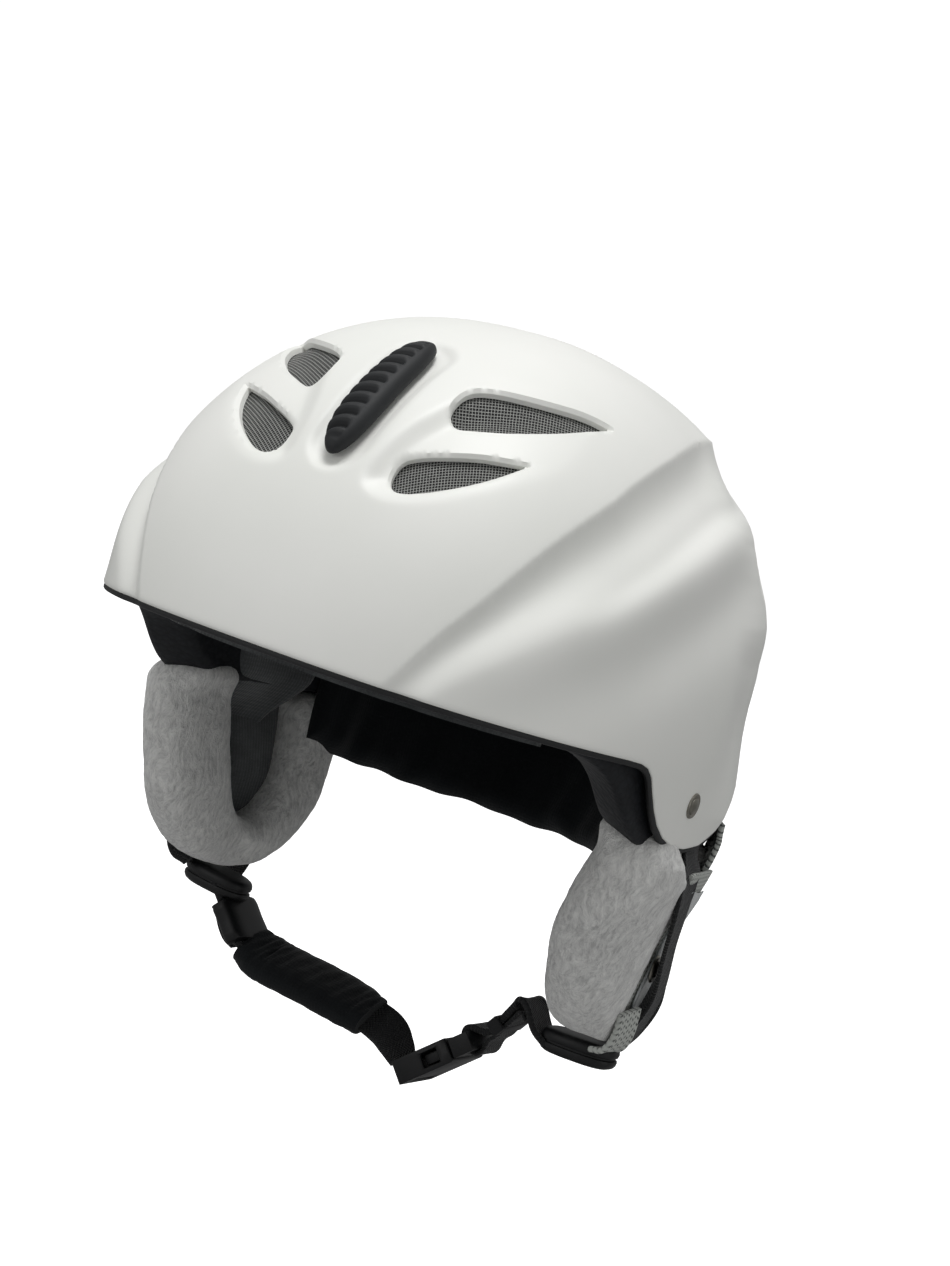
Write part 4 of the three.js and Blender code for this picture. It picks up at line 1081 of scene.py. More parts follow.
def build_liner():
    outer_offset, inner_offset = -4.7, -23.5  # from the shell's outer face
    rim_radius = 3.2

    def opening(u, v):
        return vent_distance(u, v) + 1.1

    across, along, spacing, rim_distance = map_grid(
        around=300, rim_z=liner_rim_z, steps=90, last_rows=(0.55, 0.22), mm_per_degree=2.2)
    limit = np.where(rim_distance > 6, 0.55 * np.maximum(*spacing), 0.0)
    across, along = snap(across, along, opening, limit)
    phi, tilt = map_angles(across, along)
    radius = shell_radius(phi, tilt, False)
    drop = edge_drop(rim_distance, rim_radius)
    # follow the shell's scoops, and sink a channel along the top of the front half
    scoop = (radius - shell_radius(phi, tilt, True)) * 0.6
    scoop = scoop + (5.8 * smoothstep(33.5, 31.6, np.abs(across))
                     * smoothstep(-80.5, -78.5, along)
                     * smoothstep(-12.5, -14.5, along) * (scoop < 9))

    def place(at_radius):
        return flatten_seat(direction_point(at_radius, phi, tilt), SEAT_Y - 3.6,
                            half_width=(24, 21), half_height=(19, 16.5))

    outer = place(radius + outer_offset - drop - scoop)
    inner = place(radius + inner_offset + drop * 0.8)
    poles = np.array([[0, 0, CROWN_Z + outer_offset], [0, 0, CROWN_Z + inner_offset]])
    quads = grid_quads(*across.shape)
    sides = cut_side(opening(across, along))[quads]
    keep = (sides >= 0).all(1) & (sides > 0).any(1)
    ob = two_skins("foam_liner_skin", outer, inner, poles, [tuple(q) for q in quads[keep]],
                   set, FOAM)
    return shade_by_angle(ob, 50)


own(build_shell(), "helmet", "shell_white", "outer_shell")


# ------------------------------------------------------------------ vent screens and shutter
# name, (across range), (along range), points each way
SCREENS = (("lower", (8.6, 27.0), (-65, -46.6), 34),
           ("upper", (9.6, 29.4), (-51.8, -28.6), 34),
           ("rear", (36.4, 46.6), (20.0, 31.0), 16))
SCREEN_OFFSET, SCREEN_THICK, SCREEN_MM_PER_DEGREE = -3.25, 0.45, 2.35


def vent_screens():
    for side, side_name in SIDES:
        for name, across_range, along_range, count in SCREENS:
            across, along = np.meshgrid(np.linspace(*across_range, count),
                                        np.linspace(*along_range, count))
            top = map_surface(across * side, along, SCREEN_OFFSET)
            bottom = map_surface(across * side, along, SCREEN_OFFSET - SCREEN_THICK)
            uv = np.stack([across, along], -1) * SCREEN_MM_PER_DEGREE
            ob = grid_slab(f"{name}_screen_weave_{side_name}", top, bottom, SCREEN, uv)
            own(ob, "helmet", "screen_grey", f"{name}_vent_screen_{side_name}")


def shutter_plate():
    """The CAD shutter, sunk 2.1 mm so that it stays clear of the screens."""
    ob = copy_node("vent_shutter", "shutter_plate", CARRIER)
    positions = get_positions(ob.data)
    outward = positions - np.array(frame_point(0, 0, CENTRE_Z))
    outward /= np.linalg.norm(outward, axis=1)[:, None]
    set_positions(ob.data, positions - outward * 0.0021)
    return shade_by_angle(ob, 35)


def slider():
    """Crowned slider with a window of slanting ribs; sizes in map degrees, heights in mm."""
    rows, columns = 420, 49
    rib_count = 11.5
    lengthwise = -np.cos(np.linspace(0, math.pi, rows))
    lengthwise = 0.35 * lengthwise + 0.65 * np.linspace(-1, 1, rows)
    crosswise = np.sin(np.linspace(-math.pi / 2, math.pi / 2, columns))
    lengthwise, crosswise = np.meshgrid(lengthwise, crosswise, indexing="ij")
    taper = np.clip(1 - np.abs(lengthwise) ** 3.0, 0.0, 1) ** 0.5
    half_width = np.maximum(SLIDER_HALF_WIDTH * taper * (1 - 0.10 * lengthwise), 0.02)
    along = SLIDER_ALONG + SLIDER_HALF_LENGTH * lengthwise
    across = half_width * crosswise
    crown = np.clip(1 - np.abs(crosswise) ** 3.2, 0, 1) ** 0.55
    ends = np.clip(1 - np.abs(lengthwise) ** 5, 0, 1) ** 0.5
    height = 4.35 * crown * ends
    window = ((1 - smoothstep(0.28, 0.50, crosswise)) * smoothstep(-1.02, -0.86, crosswise)
              * (1 - smoothstep(0.80, 0.90, np.abs(lengthwise))))
    curved = along + 1.15 * crosswise ** 2
    phase = (curved - 0.5 * crosswise) * rib_count / (2 * SLIDER_HALF_LENGTH)
    phase = np.mod(phase, 1.0)
    notch = (np.exp(-((phase - 0.5) / 0.17) ** 2)
             + 0.35 * np.clip(1 - np.abs(phase - 0.72) / 0.25, 0, 1))
    notch_depth = 1.6 * notch * (0.45 + 0.55 * np.clip(height / 4.0, 0, 1))
    height = height + window * (0.35 - notch_depth)
    top = map_surface(across, along, 0.6 + height, detail=False)
    bottom = map_surface(across, along, 0.3, detail=False)
    return grid_slab("slider_ribbed", top, bottom, RUBBER, sharp=80)


vent_screens()
own(shutter_plate(), "vent_slide", "carrier_black", "vent_shutter")
own(slider(), "vent_slide", "rubber_black", "vent_slider")
own(build_liner(), "helmet", "foam_black", "eps_liner")

# ------------------------------------------------------------------ edge trim and rivets
# offset from the shell's outer face, distance beyond its rim
TRIM_SECTION = [(-0.75, -0.4), (-0.55, 0.5), (-0.62, 1.1), (-1.0, 1.5), (-1.7, 1.65),
                (-2.5, 1.5), (-2.95, 1.0), (-3.05, -0.4)]
TRIM_MM_PER_DEGREE = 1.95
# (radius, height) from the middle of the domed head to the middle of its back
RIVET_PROFILE = [(0.35, 1.35), (1.2, 1.28), (2.2, 1.02), (2.9, 0.72), (3.05, 0.35),
                 (3.25, 0.30), (3.7, 0.62), (4.15, 0.60), (4.45, 0.25), (4.5, -0.4),
                 (1.0, -0.6)]


def edge_trim():
    phi = np.arange(0, 360, 0.75)
    height = shell_rim_z(phi)
    height = (np.roll(height, 1) + height * 2 + np.roll(height, -1)) / 4
    travel = phi * TRIM_MM_PER_DEGREE
    lap = 360 * TRIM_MM_PER_DEGREE
    run = np.gradient(np.concatenate([[travel[-1] - lap], travel, [travel[0] + lap]]))[1:-1]
    rise = np.gradient(np.concatenate([height[-1:], height, height[:1]]))[1:-1]
    length = np.hypot(run, rise)
    # unit direction away from the shell's edge, downwards
    away_run, away_rise = rise / length, -run / length
    rings = [surface_at_height((travel + away_run * beyond) / TRIM_MM_PER_DEGREE,
                               height + away_rise * beyond, offset)
             for offset, beyond in TRIM_SECTION]
    sides, around = len(rings), len(phi)
    faces = []
    for i in range(sides):
        after = (i + 1) % sides
        for j in range(around):
            k = (j + 1) % around
            faces.append((i * around + j, i * around + k, after * around + k, after * around + j))
    return shade_by_angle(mesh_object("rim_trim_skin", np.concatenate(rings), faces, TRIM), 40)


def rivets():
    phi, z = 84.0, -10.5
    for side, side_name in SIDES:
        centre = surface_at_height(phi, z)
        normal = np.cross(surface_at_height(phi + 1, z) - centre,
                          surface_at_height(phi, z + 1.5) - centre)
        normal = normal / np.linalg.norm(normal) * np.sign(normal[0])
        ob = revolve(f"rivet_head_{side_name}", mirror(centre, side), mirror(normal, side),
                     RIVET_PROFILE, STEEL)
        own(ob, "helmet", "rivet_steel", f"strap_rivet_{side_name}")


own(edge_trim(), "helmet", "trim_black", "edge_trim")
rivets()


# ------------------------------------------------------------------ inner padding
def pillow(name, phi_range, bottom, top, offsets, material, grid, puff, ripple=None):
    """Padding against the liner: flat behind, crowned towards the head, pinched at its edge.

    bottom and top give heights from the fraction of the way round; offsets are the back and
    front offsets from the shell's outer face; grid is the point count round and up.
    """
    back, front = offsets
    start, end = phi_range
    round_part, up_part = np.meshgrid(np.linspace(0, 1, grid[0]), np.linspace(0, 1, grid[1]))
    low, high = bottom(round_part), top(round_part)
    phi = start + (end - start) * round_part
    z = low + (high - low) * up_part
    edge = np.minimum(np.minimum(round_part, 1 - round_part) * abs(end - start) * 1.6,
                      np.minimum(up_part, 1 - up_part) * np.maximum(high - low, 1))
    fullness = np.sqrt(np.clip(1 - (1 - np.clip(edge / 6.0, 0, 1)) ** 2, 0, 1))
    face = (back - 0.9 - (back - front - 0.9) * fullness
            - puff * np.clip(edge / 22.0, 0, 1) ** 0.7)
    if ripple is not None:
        face = face + ripple(round_part, up_part) * fullness
    tilt = tilt_at(phi, z, back)
    return grid_slab(name, surface(phi, tilt, back, False), surface(phi, tilt, face, False),
                     material, np.stack([phi * 1.7, z], -1), sharp=70)


def arch(low, high):
    return lambda part: low + (high - low) * (
        0.35 + 0.65 * np.sin(np.pi * np.clip(part, 0, 1)) ** 0.6)


def pad_ripple(round_part, up_part):
    return (0.5 * np.sin(round_part * 41 + 2 * np.sin(round_part * 9))
            * np.sin(up_part * 3.1))


def nape_hem(part):
    """Loose, wavy lower edge that hangs below the liner."""
    return (-50 + 8 * (2 * np.abs(part - 0.5)) ** 3 + 0.45 * np.sin(part * 33)
            + 0.3 * np.sin(part * 71 + 1))


def nape_folds(round_part, up_part):
    return (1 - up_part) * (1.3 * np.sin(round_part * 52 + 1.6 * up_part)
                            + 0.8 * np.sin(round_part * 93 + 3 * up_part + 1))


def temple_plush(side, side_name):
    """Plush from the liner down to the ear flap, drawn outward and together as it falls; it wears
    the darker grey fleece as painted shade for the inside of the helmet.
    """
    # the darker grey fleece here is painted shade, not the plush's own colour
    ob = pillow(f"temple_plush_{side_name}", (82 * side, 117 * side), lambda part: -47,
                lambda part: 4 - 3 * np.abs(2 * part - 1) ** 3, (-22.6, -24.9), FLEECE_AND_PAINTED_SHADE,
                grid=(70, 60), puff=0.3)
    positions = get_positions(ob.data)
    z = positions[:, 2] * 1000 + DROP
    middle_y = 0.017
    positions[:, 0] += side * 0.017 * smoothstep(-18, -46, z)
    narrowing = 1 - 0.42 * smoothstep(-8, -44, z)
    positions[:, 1] = middle_y + (positions[:, 1] - middle_y) * narrowing
    set_positions(ob.data, positions)
    bridge(ob, side_name, "lining_grey", frame_point(side * 80, 15, -29),
           frame_point(side * 92, 15, -50))


def side_and_nape_pads():
    ob = pillow("brow_pad_plush", (-46, 46), lambda part: -4.6, arch(-4.6, 21),
                (-24.4, -29.2), FLEECE_AND_PAINTED_SHADE, grid=(90, 22), puff=1.0, ripple=pad_ripple)
    own(ob, "helmet", "lining_grey", "brow_pad")
    for side, side_name in SIDES:
        ob = pillow(f"temple_pad_fabric_{side_name}", (53 * side, 104 * side),
                    lambda part: 1, arch(1, 20), (-24.4, -29.4), LINING,
                    grid=(50, 26), puff=0.9, ripple=pad_ripple)
        own(ob, "helmet", "lining_black", f"temple_pad_{side_name}")
    for side, side_name in SIDES:
        temple_plush(side, side_name)
    ob = pillow("nape_pad_fabric", (118, 242), nape_hem, lambda part: -4, (-24.4, -30.6),
                LINING, grid=(150, 34), puff=1.0, ripple=nape_folds)
    own(ob, "helmet", "lining_black", "nape_pad")


def liner_ceiling(x, y):
    """Height just under the liner's inner face, found by halving."""
    low, high = np.full(x.shape, 60.0), np.full(x.shape, 112.0)
    for _ in range(24):
        middle = (low + high) / 2
        offset = np.stack([x, y, middle - CENTRE_Z], -1)
        radius = np.linalg.norm(offset, axis=-1)
        tilt = np.degrees(np.arccos(np.clip(offset[..., 2] / radius, -1, 1)))
        phi = np.degrees(np.arctan2(x, -y))
        inside = radius < shell_radius(phi, np.maximum(tilt, 0.001), False) - 24.6
        low, high = np.where(inside, middle, low), np.where(inside, high, middle)
    return low


# (scale, height) of the crown pad's lower rings, from its rim to its middle
CROWN_PAD_UNDERSIDE = ((1.0, 93.4), (0.975, 92.0), (0.93, 91.35), (0.86, 91.5), (0.8, 91.2),
                       (0.5, 91.05), (0.15, 91.0))


def crown_pad():
    """Oval pad: its top follows the liner, its underside is nearly flat and ribbed."""
    around, half_width, half_length = 96, 34, 42
    angle = np.arange(around) * TURN / around
    rings = []
    for scale in (0.15, 0.4, 0.65, 0.85, 0.97, 1.0):
        x, y = half_width * scale * np.cos(angle), half_length * scale * np.sin(angle)
        rings.append(np.stack([x, y, liner_ceiling(x, y)], -1))
    for scale, height in CROWN_PAD_UNDERSIDE:
        x, y = half_width * scale * np.cos(angle), half_length * scale * np.sin(angle)
        z = height + 0.35 * np.sin(x * 0.42) ** 8 * (scale < 0.84)
        rings.append(np.stack([x, y, z], -1))
    poles = np.array([[0, 0, rings[0][0][2]], [0, 0, CROWN_PAD_UNDERSIDE[-1][1]]])
    ob = closed_tube("crown_pad_fabric", rings, poles, LINING, paired=False)
    set_uv(ob, np.concatenate([*rings, poles])[:, :2])
    return shade_by_angle(ob, 60)


side_and_nape_pads()
own(crown_pad(), "helmet", "lining_black", "crown_pad")


# ------------------------------------------------------------------ ear flaps
RIGHT_LIFT = 3.6  # the right flap's strap ends sit this much higher

# stations of the U-shaped roll, from the front top round the bottom to the rear top:
# y, z, half width, half thickness
CUSHION = [
    (-14.0, -19.5, 13.0, 13.6), (-15.5, -26.5, 16.2, 14.6), (-15.5, -38, 18.0, 14.8),
    (-15.5, -46, 18.6, 14.4), (-14, -58, 18.5, 13.8), (-9, -70, 17, 13.6),
    (0, -79.5, 14.5, 13.4), (12, -85, 12.2, 12.8), (24, -84.5, 11, 12.2),
    (34.5, -77, 10.5, 11.6), (41, -66, 10.5, 11), (44.5, -54, 10.5, 10.6),
    (46.5, -43, 10.5, 11.6), (47.5, -32.5, 10, 12.6), (48.0, -25, 9.5, 13.0)]
# outlines in the plane of the flap: y, z
WRAP = [(-21, -32.5), (-24, -46), (-22, -60), (-16, -72), (-5, -84), (5, -93), (10, -95),
        (13.5, -89), (16, -79), (17.5, -66), (18.5, -57), (16, -47), (8, -39), (-5, -32)]
FLAP = [(4, -34), (9, -44), (13, -56), (14, -68), (14, -80), (13.5, -90), (18, -95.5),
        (28, -95.5), (38, -89.5), (46, -79.5), (51, -66), (52, -53), (46, -41), (38, -35.5)]
FLAP_CENTRE = (27, -60)
FLAP_LINING = [(-2, -33), (-1, -50), (2, -64), (10, -76), (24, -78), (36, -69), (41, -54),
               (42, -33)]
# (radius, height) from the middle of the cap to the middle of its back
EAR_SNAP_PROFILE = [(0.8, 1.5), (2.4, 1.45), (3.2, 1.1), (3.45, 0.75), (3.9, 0.9),
                    (4.6, 0.9), (5.0, 0.45), (5.1, 0.0), (4.6, -0.35), (1.0, -0.4)]
FLAP_TAB = [(99.8, 10, -86), (99.9, 11, -92), (98.9, 12, -97.5), (96.4, 13.5, -101.4),
            (92.4, 15, -103.0)]  # x, y, z


def plate_x(y, z):
    """x of the curved plate that the flap is laid out on."""
    y, z = np.asarray(y, float), np.asarray(z, float)
    lean = np.where(z > -60, (z + 31) * 0.34, -29 * 0.34 + (z + 60) * 0.1)
    return 108.6 + lean - 0.0022 * np.maximum(0, y + 15) ** 2


def plate_point(y, z, offset, side=1):
    return np.stack([side * (plate_x(y, z) + offset), y, z], -1)


def flap_layer(name, outline, side, profile, material, centre):
    """Closed layer on the flap's plate over a star-shaped outline.

    profile: (scale, offset) from the middle of one face, over the rim, to the other middle.
    """
    centre = np.array(centre)
    flats = [centre + (outline - centre) * scale for scale, _ in profile]
    rings = [plate_point(flat[:, 0], flat[:, 1], offset, side)
             for flat, (_, offset) in zip(flats, profile)]
    poles = np.array([plate_point(centre[0], centre[1], profile[end][1], side)
                      for end in (0, -1)])
    ob = closed_tube(name, rings, poles, material)
    set_uv(ob, np.concatenate(flats + [centre[None], centre[None]]))
    return shade_by_angle(ob, 50)


def layer_profile(low, high, rings, low_puff=0.0, high_puff=0.0, rim=1.0):
    """Profile for flap_layer: a face at each offset, joined by a rounded rim."""
    shoulder = 0.982
    scales = np.linspace(0.12, shoulder, rings)
    middle, half = (low + high) / 2, (high - low) / 2
    out = [(t, low + low_puff * (1 - t * t)) for t in scales]
    for angle in (-60, -30, 0, 30, 60):
        out.append((shoulder + (rim - shoulder) * math.cos(angle * RAD),
                    middle + half * math.sin(angle * RAD)))
    out += [(t, high + high_puff * (1 - t * t)) for t in scales[::-1]]
    return out


def close_top(curve, start_y, end_y, count, z):
    """Closes an outline along the top with evenly spaced points."""
    y = np.linspace(start_y, end_y, count)[1:-1]
    return np.concatenate([curve, np.stack([y, np.full(len(y), z)], -1)])


def flap_outline(grow):
    outline = close_top(smooth_curve(FLAP, 5), 38, 4, 12, -33.2)
    outward = outline - np.array(FLAP_CENTRE)
    return outline + outward / np.linalg.norm(outward, axis=1)[:, None] * grow


def cushion_roll(name, side, grow_front, grow_rear, drop):
    around, steps = 34, 6
    shrink = 1.6  # room left for the cloth to swell
    stations = smooth_curve(CUSHION, steps)
    heading = np.gradient(stations[:, :2], axis=0)
    heading /= np.linalg.norm(heading, axis=1)[:, None]
    count = len(stations)
    angle = np.arange(around) * TURN / around
    cosine = signed_power(np.cos(angle), 2 / 2.5)
    sine = signed_power(np.sin(angle), 2 / 2.5)
    rings = []
    for i, (y, z, half, thick) in enumerate(stations):
        half, thick = half - shrink, thick - shrink * 0.6
        t = i / (count - 1)
        front = grow_front * (1 - smoothstep(0.25, 0.55, t))
        rear = grow_rear * smoothstep(0.5, 0.8, t)
        thick += 0.16 * rear
        # the section's width points away from the middle of the U, level near both tops
        axis = np.array([0, -heading[i][1], heading[i][0]])
        if axis @ np.array([0, y - 18, z + 50]) < 0:
            axis = -axis
        if i < 2 * steps:
            axis = np.array([0, -1.0, 0])
        if i > count - 2 * steps - 1:
            axis = np.array([0, 1.0, 0])
        axis = axis / np.linalg.norm(axis)
        y += axis[1] * (front + rear) * 0.5
        z += axis[2] * (front + rear) * 0.5 - drop * smoothstep(-66, -84, z)
        half += (front + rear) * 0.5
        out = 3.4 * (1 - smoothstep(0.42, 0.62, t))
        if z > -31:
            out -= (z + 31) * 1.0
        # turn the section with the slope of the plate
        slope = -0.0044 * max(0, y + 15)
        wide = axis + np.array([axis[1] * slope, 0, 0])
        wide /= np.linalg.norm(wide)
        through = np.array([1, -slope, 0])
        through /= np.linalg.norm(through)
        end_gap = min(i, count - 1 - i)
        taper = min(1.0, 0.5 + 0.5 * math.sqrt(end_gap / 5)) if end_gap < 5 else 1.0
        centre = np.array([float(plate_x(y, z)) - thick - 1.0 - shrink * 0.6 + out, y, z])
        rings.append(centre + half * taper * cosine[:, None] * wide
                     + thick * taper * sine[:, None] * through)
    poles = np.array([rings[end].mean(0) + [0, 0, 1.2] for end in (0, -1)])
    return closed_tube(name, rings, poles, PLUSH, paired=False, side=side)


def ear_cushion(name, side, grow_front, grow_rear, drop):
    """The roll and the plush folded over the front of the outer face, fused into one skin."""
    roll = cushion_roll(name + "_roll", side, grow_front, grow_rear, drop)
    outline = smooth_curve(WRAP, 4, closed=True)
    outline[:, 1] -= drop * smoothstep(-66, -84, outline[:, 1])
    fold = flap_layer(name + "_fold", outline, side,
                      layer_profile(-7.0, 2.6, rings=7, high_puff=0.8), PLUSH, (1, -62))
    bm = bmesh.new()
    bm.from_mesh(roll.data)
    bm.from_mesh(fold.data)
    mesh = bpy.data.meshes.new(name)
    bm.to_mesh(mesh)
    bm.free()
    mesh.materials.append(PLUSH)
    bpy.data.objects.remove(roll)
    bpy.data.objects.remove(fold)
    ob = link_object(name, mesh)
    remesh = ob.modifiers.new("remesh", "REMESH")
    remesh.mode = "VOXEL"
    remesh.voxel_size = 0.0024
    remesh.use_smooth_shade = True
    smooth = ob.modifiers.new("smooth", "SMOOTH")
    smooth.factor = 0.5
    smooth.iterations = 5
    apply_modifiers(ob)
    inflate(ob, pressure=4.0, frames=20, reach=0.006)
    subdivision = ob.modifiers.new("sub", "SUBSURF")
    subdivision.levels = subdivision.render_levels = 1
    apply_modifiers(ob)
    raise_nap(ob, wavelength=0.0052, height=0.00022)
    set_smooth(ob.data)
    return ob


def flap_piping(name, side):
    """Piped seam round the open side of the mesh-fabric back."""
    seam = smooth_curve(FLAP, 5)
    points = np.array([plate_point(y, z, 0.7) for y, z in seam[2:-2:3]])
    outward = points - np.array([90, *FLAP_CENTRE])
    points = points + outward / np.linalg.norm(outward, axis=1)[:, None] * 0.6
    return sweep(name, mirror(points, side), [(side, 0.0, 0.0)] * len(points),
                 superellipse(1.1, 1.1, 12, 2.0), KNIT, steps=3)


def ear_flap(side, side_name):
    body = f"{side_name}_flap"
    right = side < 0
    # the right cushion is fuller, the left one hangs lower
    shape = (4.0, 8.0, 1.0) if right else (0.0, 1.5, 4.5)
    ob = ear_cushion(f"ear_cushion_plush_{side_name}", side, *shape)
    own(ob, body, "plush_grey", f"ear_cushion_{side_name}")

    # lining that closes the hollow of the U; it is plush, given the darker grey fleece as painted
    # shade for the hollow
    outline = close_top(smooth_curve(FLAP_LINING, 5), 42, -2, 8, -32.6)
    ob = flap_layer(f"ear_lining_plush_{side_name}", outline, side,
                    layer_profile(-9.0, -4.4, rings=6, low_puff=-2.4), FLEECE_AND_PAINTED_SHADE, (20, -50))
    own(ob, body, "plush_grey", f"ear_lining_{side_name}")

    ob = flap_layer(f"ear_back_fabric_{side_name}", flap_outline(0.0), side,
                    layer_profile(0.3, 2.0, rings=7, high_puff=1.6), KNIT, FLAP_CENTRE)
    own(ob, body, "mesh_grey", f"ear_mesh_back_{side_name}")

    profile = layer_profile(3.3, 4.0, rings=6, low_puff=0.6, high_puff=0.6, rim=0.995)
    ob = flap_layer(f"ear_stiffener_sheet_{side_name}", flap_outline(-8.0), side, profile,
                    CLEAR, FLAP_CENTRE)
    own(ob, body, "stiffener_clear", f"ear_stiffener_{side_name}")

    own(flap_piping(f"ear_seam_piping_{side_name}", side), body, "mesh_grey")

    ob = revolve(f"ear_snap_cap_{side_name}", plate_point(20, -71, 5.0, side),
                 (side * 0.987, 0.16, 0), EAR_SNAP_PROFILE, STEEL)
    own(ob, body, "rivet_steel", f"ear_snap_{side_name}")

    # tab under the toe of the flap
    lift = RIGHT_LIFT if right else 0.0
    points = [(x, y, z + lift) for x, y, z in FLAP_TAB]
    ob = sweep(f"ear_tab_fabric_{side_name}", mirror(points, side), [(0.1 * side, 1, 0)] * 5,
               tape(14, 1.7, 0.4), WEBBING if right else KNIT, steps=6)
    own(ob, body, "mesh_grey", f"ear_strap_loop_{side_name}")


for side, side_name in SIDES:
    ear_flap(side, side_name)

# ------------------------------------------------------------------ webbing at the sides
# paths (x, y, z) and the width directions at their points, on the left side
FRONT_STRAP = [(100.2, 16, -20), (102.6, 12, -27), (106.4, 7, -35), (107.7, 6, -46),
               (104.8, 15, -62), (102.6, 24, -80), (99.6, 23, -93), (94.8, 21.5, -102.2),
               (90.5, 21.5, -104.8)]
FRONT_STRAP_ACROSS = [(-0.25, 1, 0.2), (-0.2, 1, 0.25), (-0.1, 1, 0.3), (-0.1, 1, 0.35),
                      (-0.15, 1, 0.3), (-0.15, 1, 0.0), (-0.1, 1, -0.1), (0, 1, -0.1),
                      (0, 1, 0)]
REAR_STRAP = [(80, 62, -20), (82.5, 62, -30), (85.5, 61, -40), (88.4, 59, -53),
              (90.0, 56, -68), (90.2, 51, -84), (88.6, 43, -97), (86.5, 34, -104.4),
              (85, 27, -105.6)]
REAR_STRAP_ACROSS = [(-0.6, 0.75, 0), (-0.6, 0.75, 0), (-0.5, 0.8, 0.1), (-0.4, 0.9, 0.2),
                     (-0.1, 0.8, 0.5), (0.3, 0.6, 0.6), (0.8, 0.4, 0.3), (1, 0.1, 0.1),
                     (1, 0, 0)]
GUSSET = [(96.6, 47.5, -17), (97.0, 47.5, -24), (96.6, 45.5, -32), (95.2, 42.5, -41),
          (93.2, 40, -53)]
# name, path, width directions, width, the two points its blend runs between
SIDE_STRAPS = (
    ("front", FRONT_STRAP, FRONT_STRAP_ACROSS, 14, (102, 12, -25), (108, 5, -44)),
    ("rear", REAR_STRAP, REAR_STRAP_ACROSS, 13, (84, 71, -24), (89, 67, -44)))
# (scale of the oval, height) from the middle of the underside to the middle of the top
DIVIDER_PROFILE = [(0.30, -4.9), (0.70, -5.0), (0.86, -4.8), (0.95, -4.2), (1.0, -3.2),
                   (1.01, -2.2), (1.0, -1.5), (0.945, -1.2), (0.945, -0.6), (1.0, -0.3),
                   (1.02, 0.8), (1.0, 2.0), (0.95, 2.9), (0.86, 3.4), (0.7, 3.6), (0.3, 3.6)]


def side_straps(side, side_name):
    lift = RIGHT_LIFT if side < 0 else 0.0
    for name, path, across, width, (x0, y0, z0), (x1, y1, z1) in SIDE_STRAPS:
        points = [(x, y, z + lift * float(smoothstep(-70, -100, z))) for x, y, z in path]
        ob = sweep(f"{name}_strap_tape_{side_name}", mirror(points, side),
                   mirror(across, side), tape(width), WEBBING, steps=9)
        bridge(ob, side_name, "webbing_black", frame_point(side * x0, y0, z0),
               frame_point(side * x1, y1, z1), f"{name}_strap_{side_name}")
    # mesh fabric gusset between the shell's lobe and the flap
    ob = sweep(f"ear_gusset_fabric_{side_name}", mirror(GUSSET, side),
               mirror([(-0.42, 0.9, 0.1)] * 5, side), tape(27, 1.8, 0.3), KNIT,
               scale=[1.0, 1.0, 0.86, 0.7, 0.55])
    bridge(ob, side_name, "mesh_grey", frame_point(side * 97, 56, -20),
           frame_point(side * 93, 49, -46))
    own(divider(side, side_name, lift), f"{side_name}_flap", "buckle_black",
        f"strap_divider_{side_name}")


def divider(side, side_name, lift):
    """Grooved oval slider where the two side straps meet."""
    angle = np.arange(64) * TURN / 64
    oval_x = 14.3 * signed_power(np.cos(angle), 0.72)
    oval_y = 8.4 * signed_power(np.sin(angle), 0.82)
    centre = np.array([82.0, 22.0, -106.5 + lift])
    rings = [np.stack([centre[0] + oval_x * scale, centre[1] + oval_y * scale,
                       centre[2] + height + oval_x * scale * 0.06], -1)
             for scale, height in DIVIDER_PROFILE]
    poles = np.array([centre + [0, 0, DIVIDER_PROFILE[end][1]] for end in (0, -1)])
    ob = closed_tube(f"divider_oval_{side_name}", rings, poles, ACETAL, paired=False, side=side)
    return shade_by_angle(ob, 50)


for side, side_name in SIDES:
    side_straps(side, side_name)


# ------------------------------------------------------------------ chin strap
def bar_point(along, off):
    """A point in the buckle's plane: along its release axis, and off its flat face."""
    return (36.75 + 0.733 * along + 0.68 * off, 29.0, -125.8 + 0.68 * along - 0.733 * off)


ALONG_Y = (0, 1, 0)
# the tape passes the keeper and wraps the bar of the buckle's male half
CHIN_LEFT = [(73, 22.5, -110.5), (66, 23.4, -107.0), (60.5, 25.0, -101.2),
             (56.4, 26.4, -100.0), (52.6, 27.6, -105.6), (48.2, 28.6, -114.2),
             bar_point(12.6, -1.6), bar_point(9.4, -4.4), bar_point(6.8, -4.95),
             bar_point(5.2, -3.2), bar_point(4.95, 0)]
# return of the tape under the upper run
CHIN_LEFT_RETURN = [(62.6, 24.6, -106.2), (58.2, 26.0, -104.2), (54.6, 27.2, -108.2),
                    (50.8, 28.2, -114.8), bar_point(13.0, 2.2), bar_point(9.5, 4.5),
                    bar_point(6.8, 4.75), bar_point(5.3, 3.2), bar_point(5.0, 0.4)]
HANGER = [(-80, 22.5, -102.5), (-75.6, 23.4, -107.6), (-70.4, 24.3, -113.6),
          (-66.2, 24.8, -117.6), (-62.4, 25.1, -121.2), (-60.0, 25.2, -123.2)]
HANGER_RETURN = [(-77, 22.8, -111.4), (-74.2, 23.4, -113.8), (-70.6, 24.3, -119.4),
                 (-67.4, 24.8, -122.6), (-64.0, 25.0, -124.0)]
CHIN_RIGHT = [(-58.6, 25.3, -123.9), (-50, 26, -125.6), (-34, 27, -126.4),
              (-15, 28.5, -128), (2, 29.5, -131), (10, 29, -135.6), (15.2, 29, -140.8)]
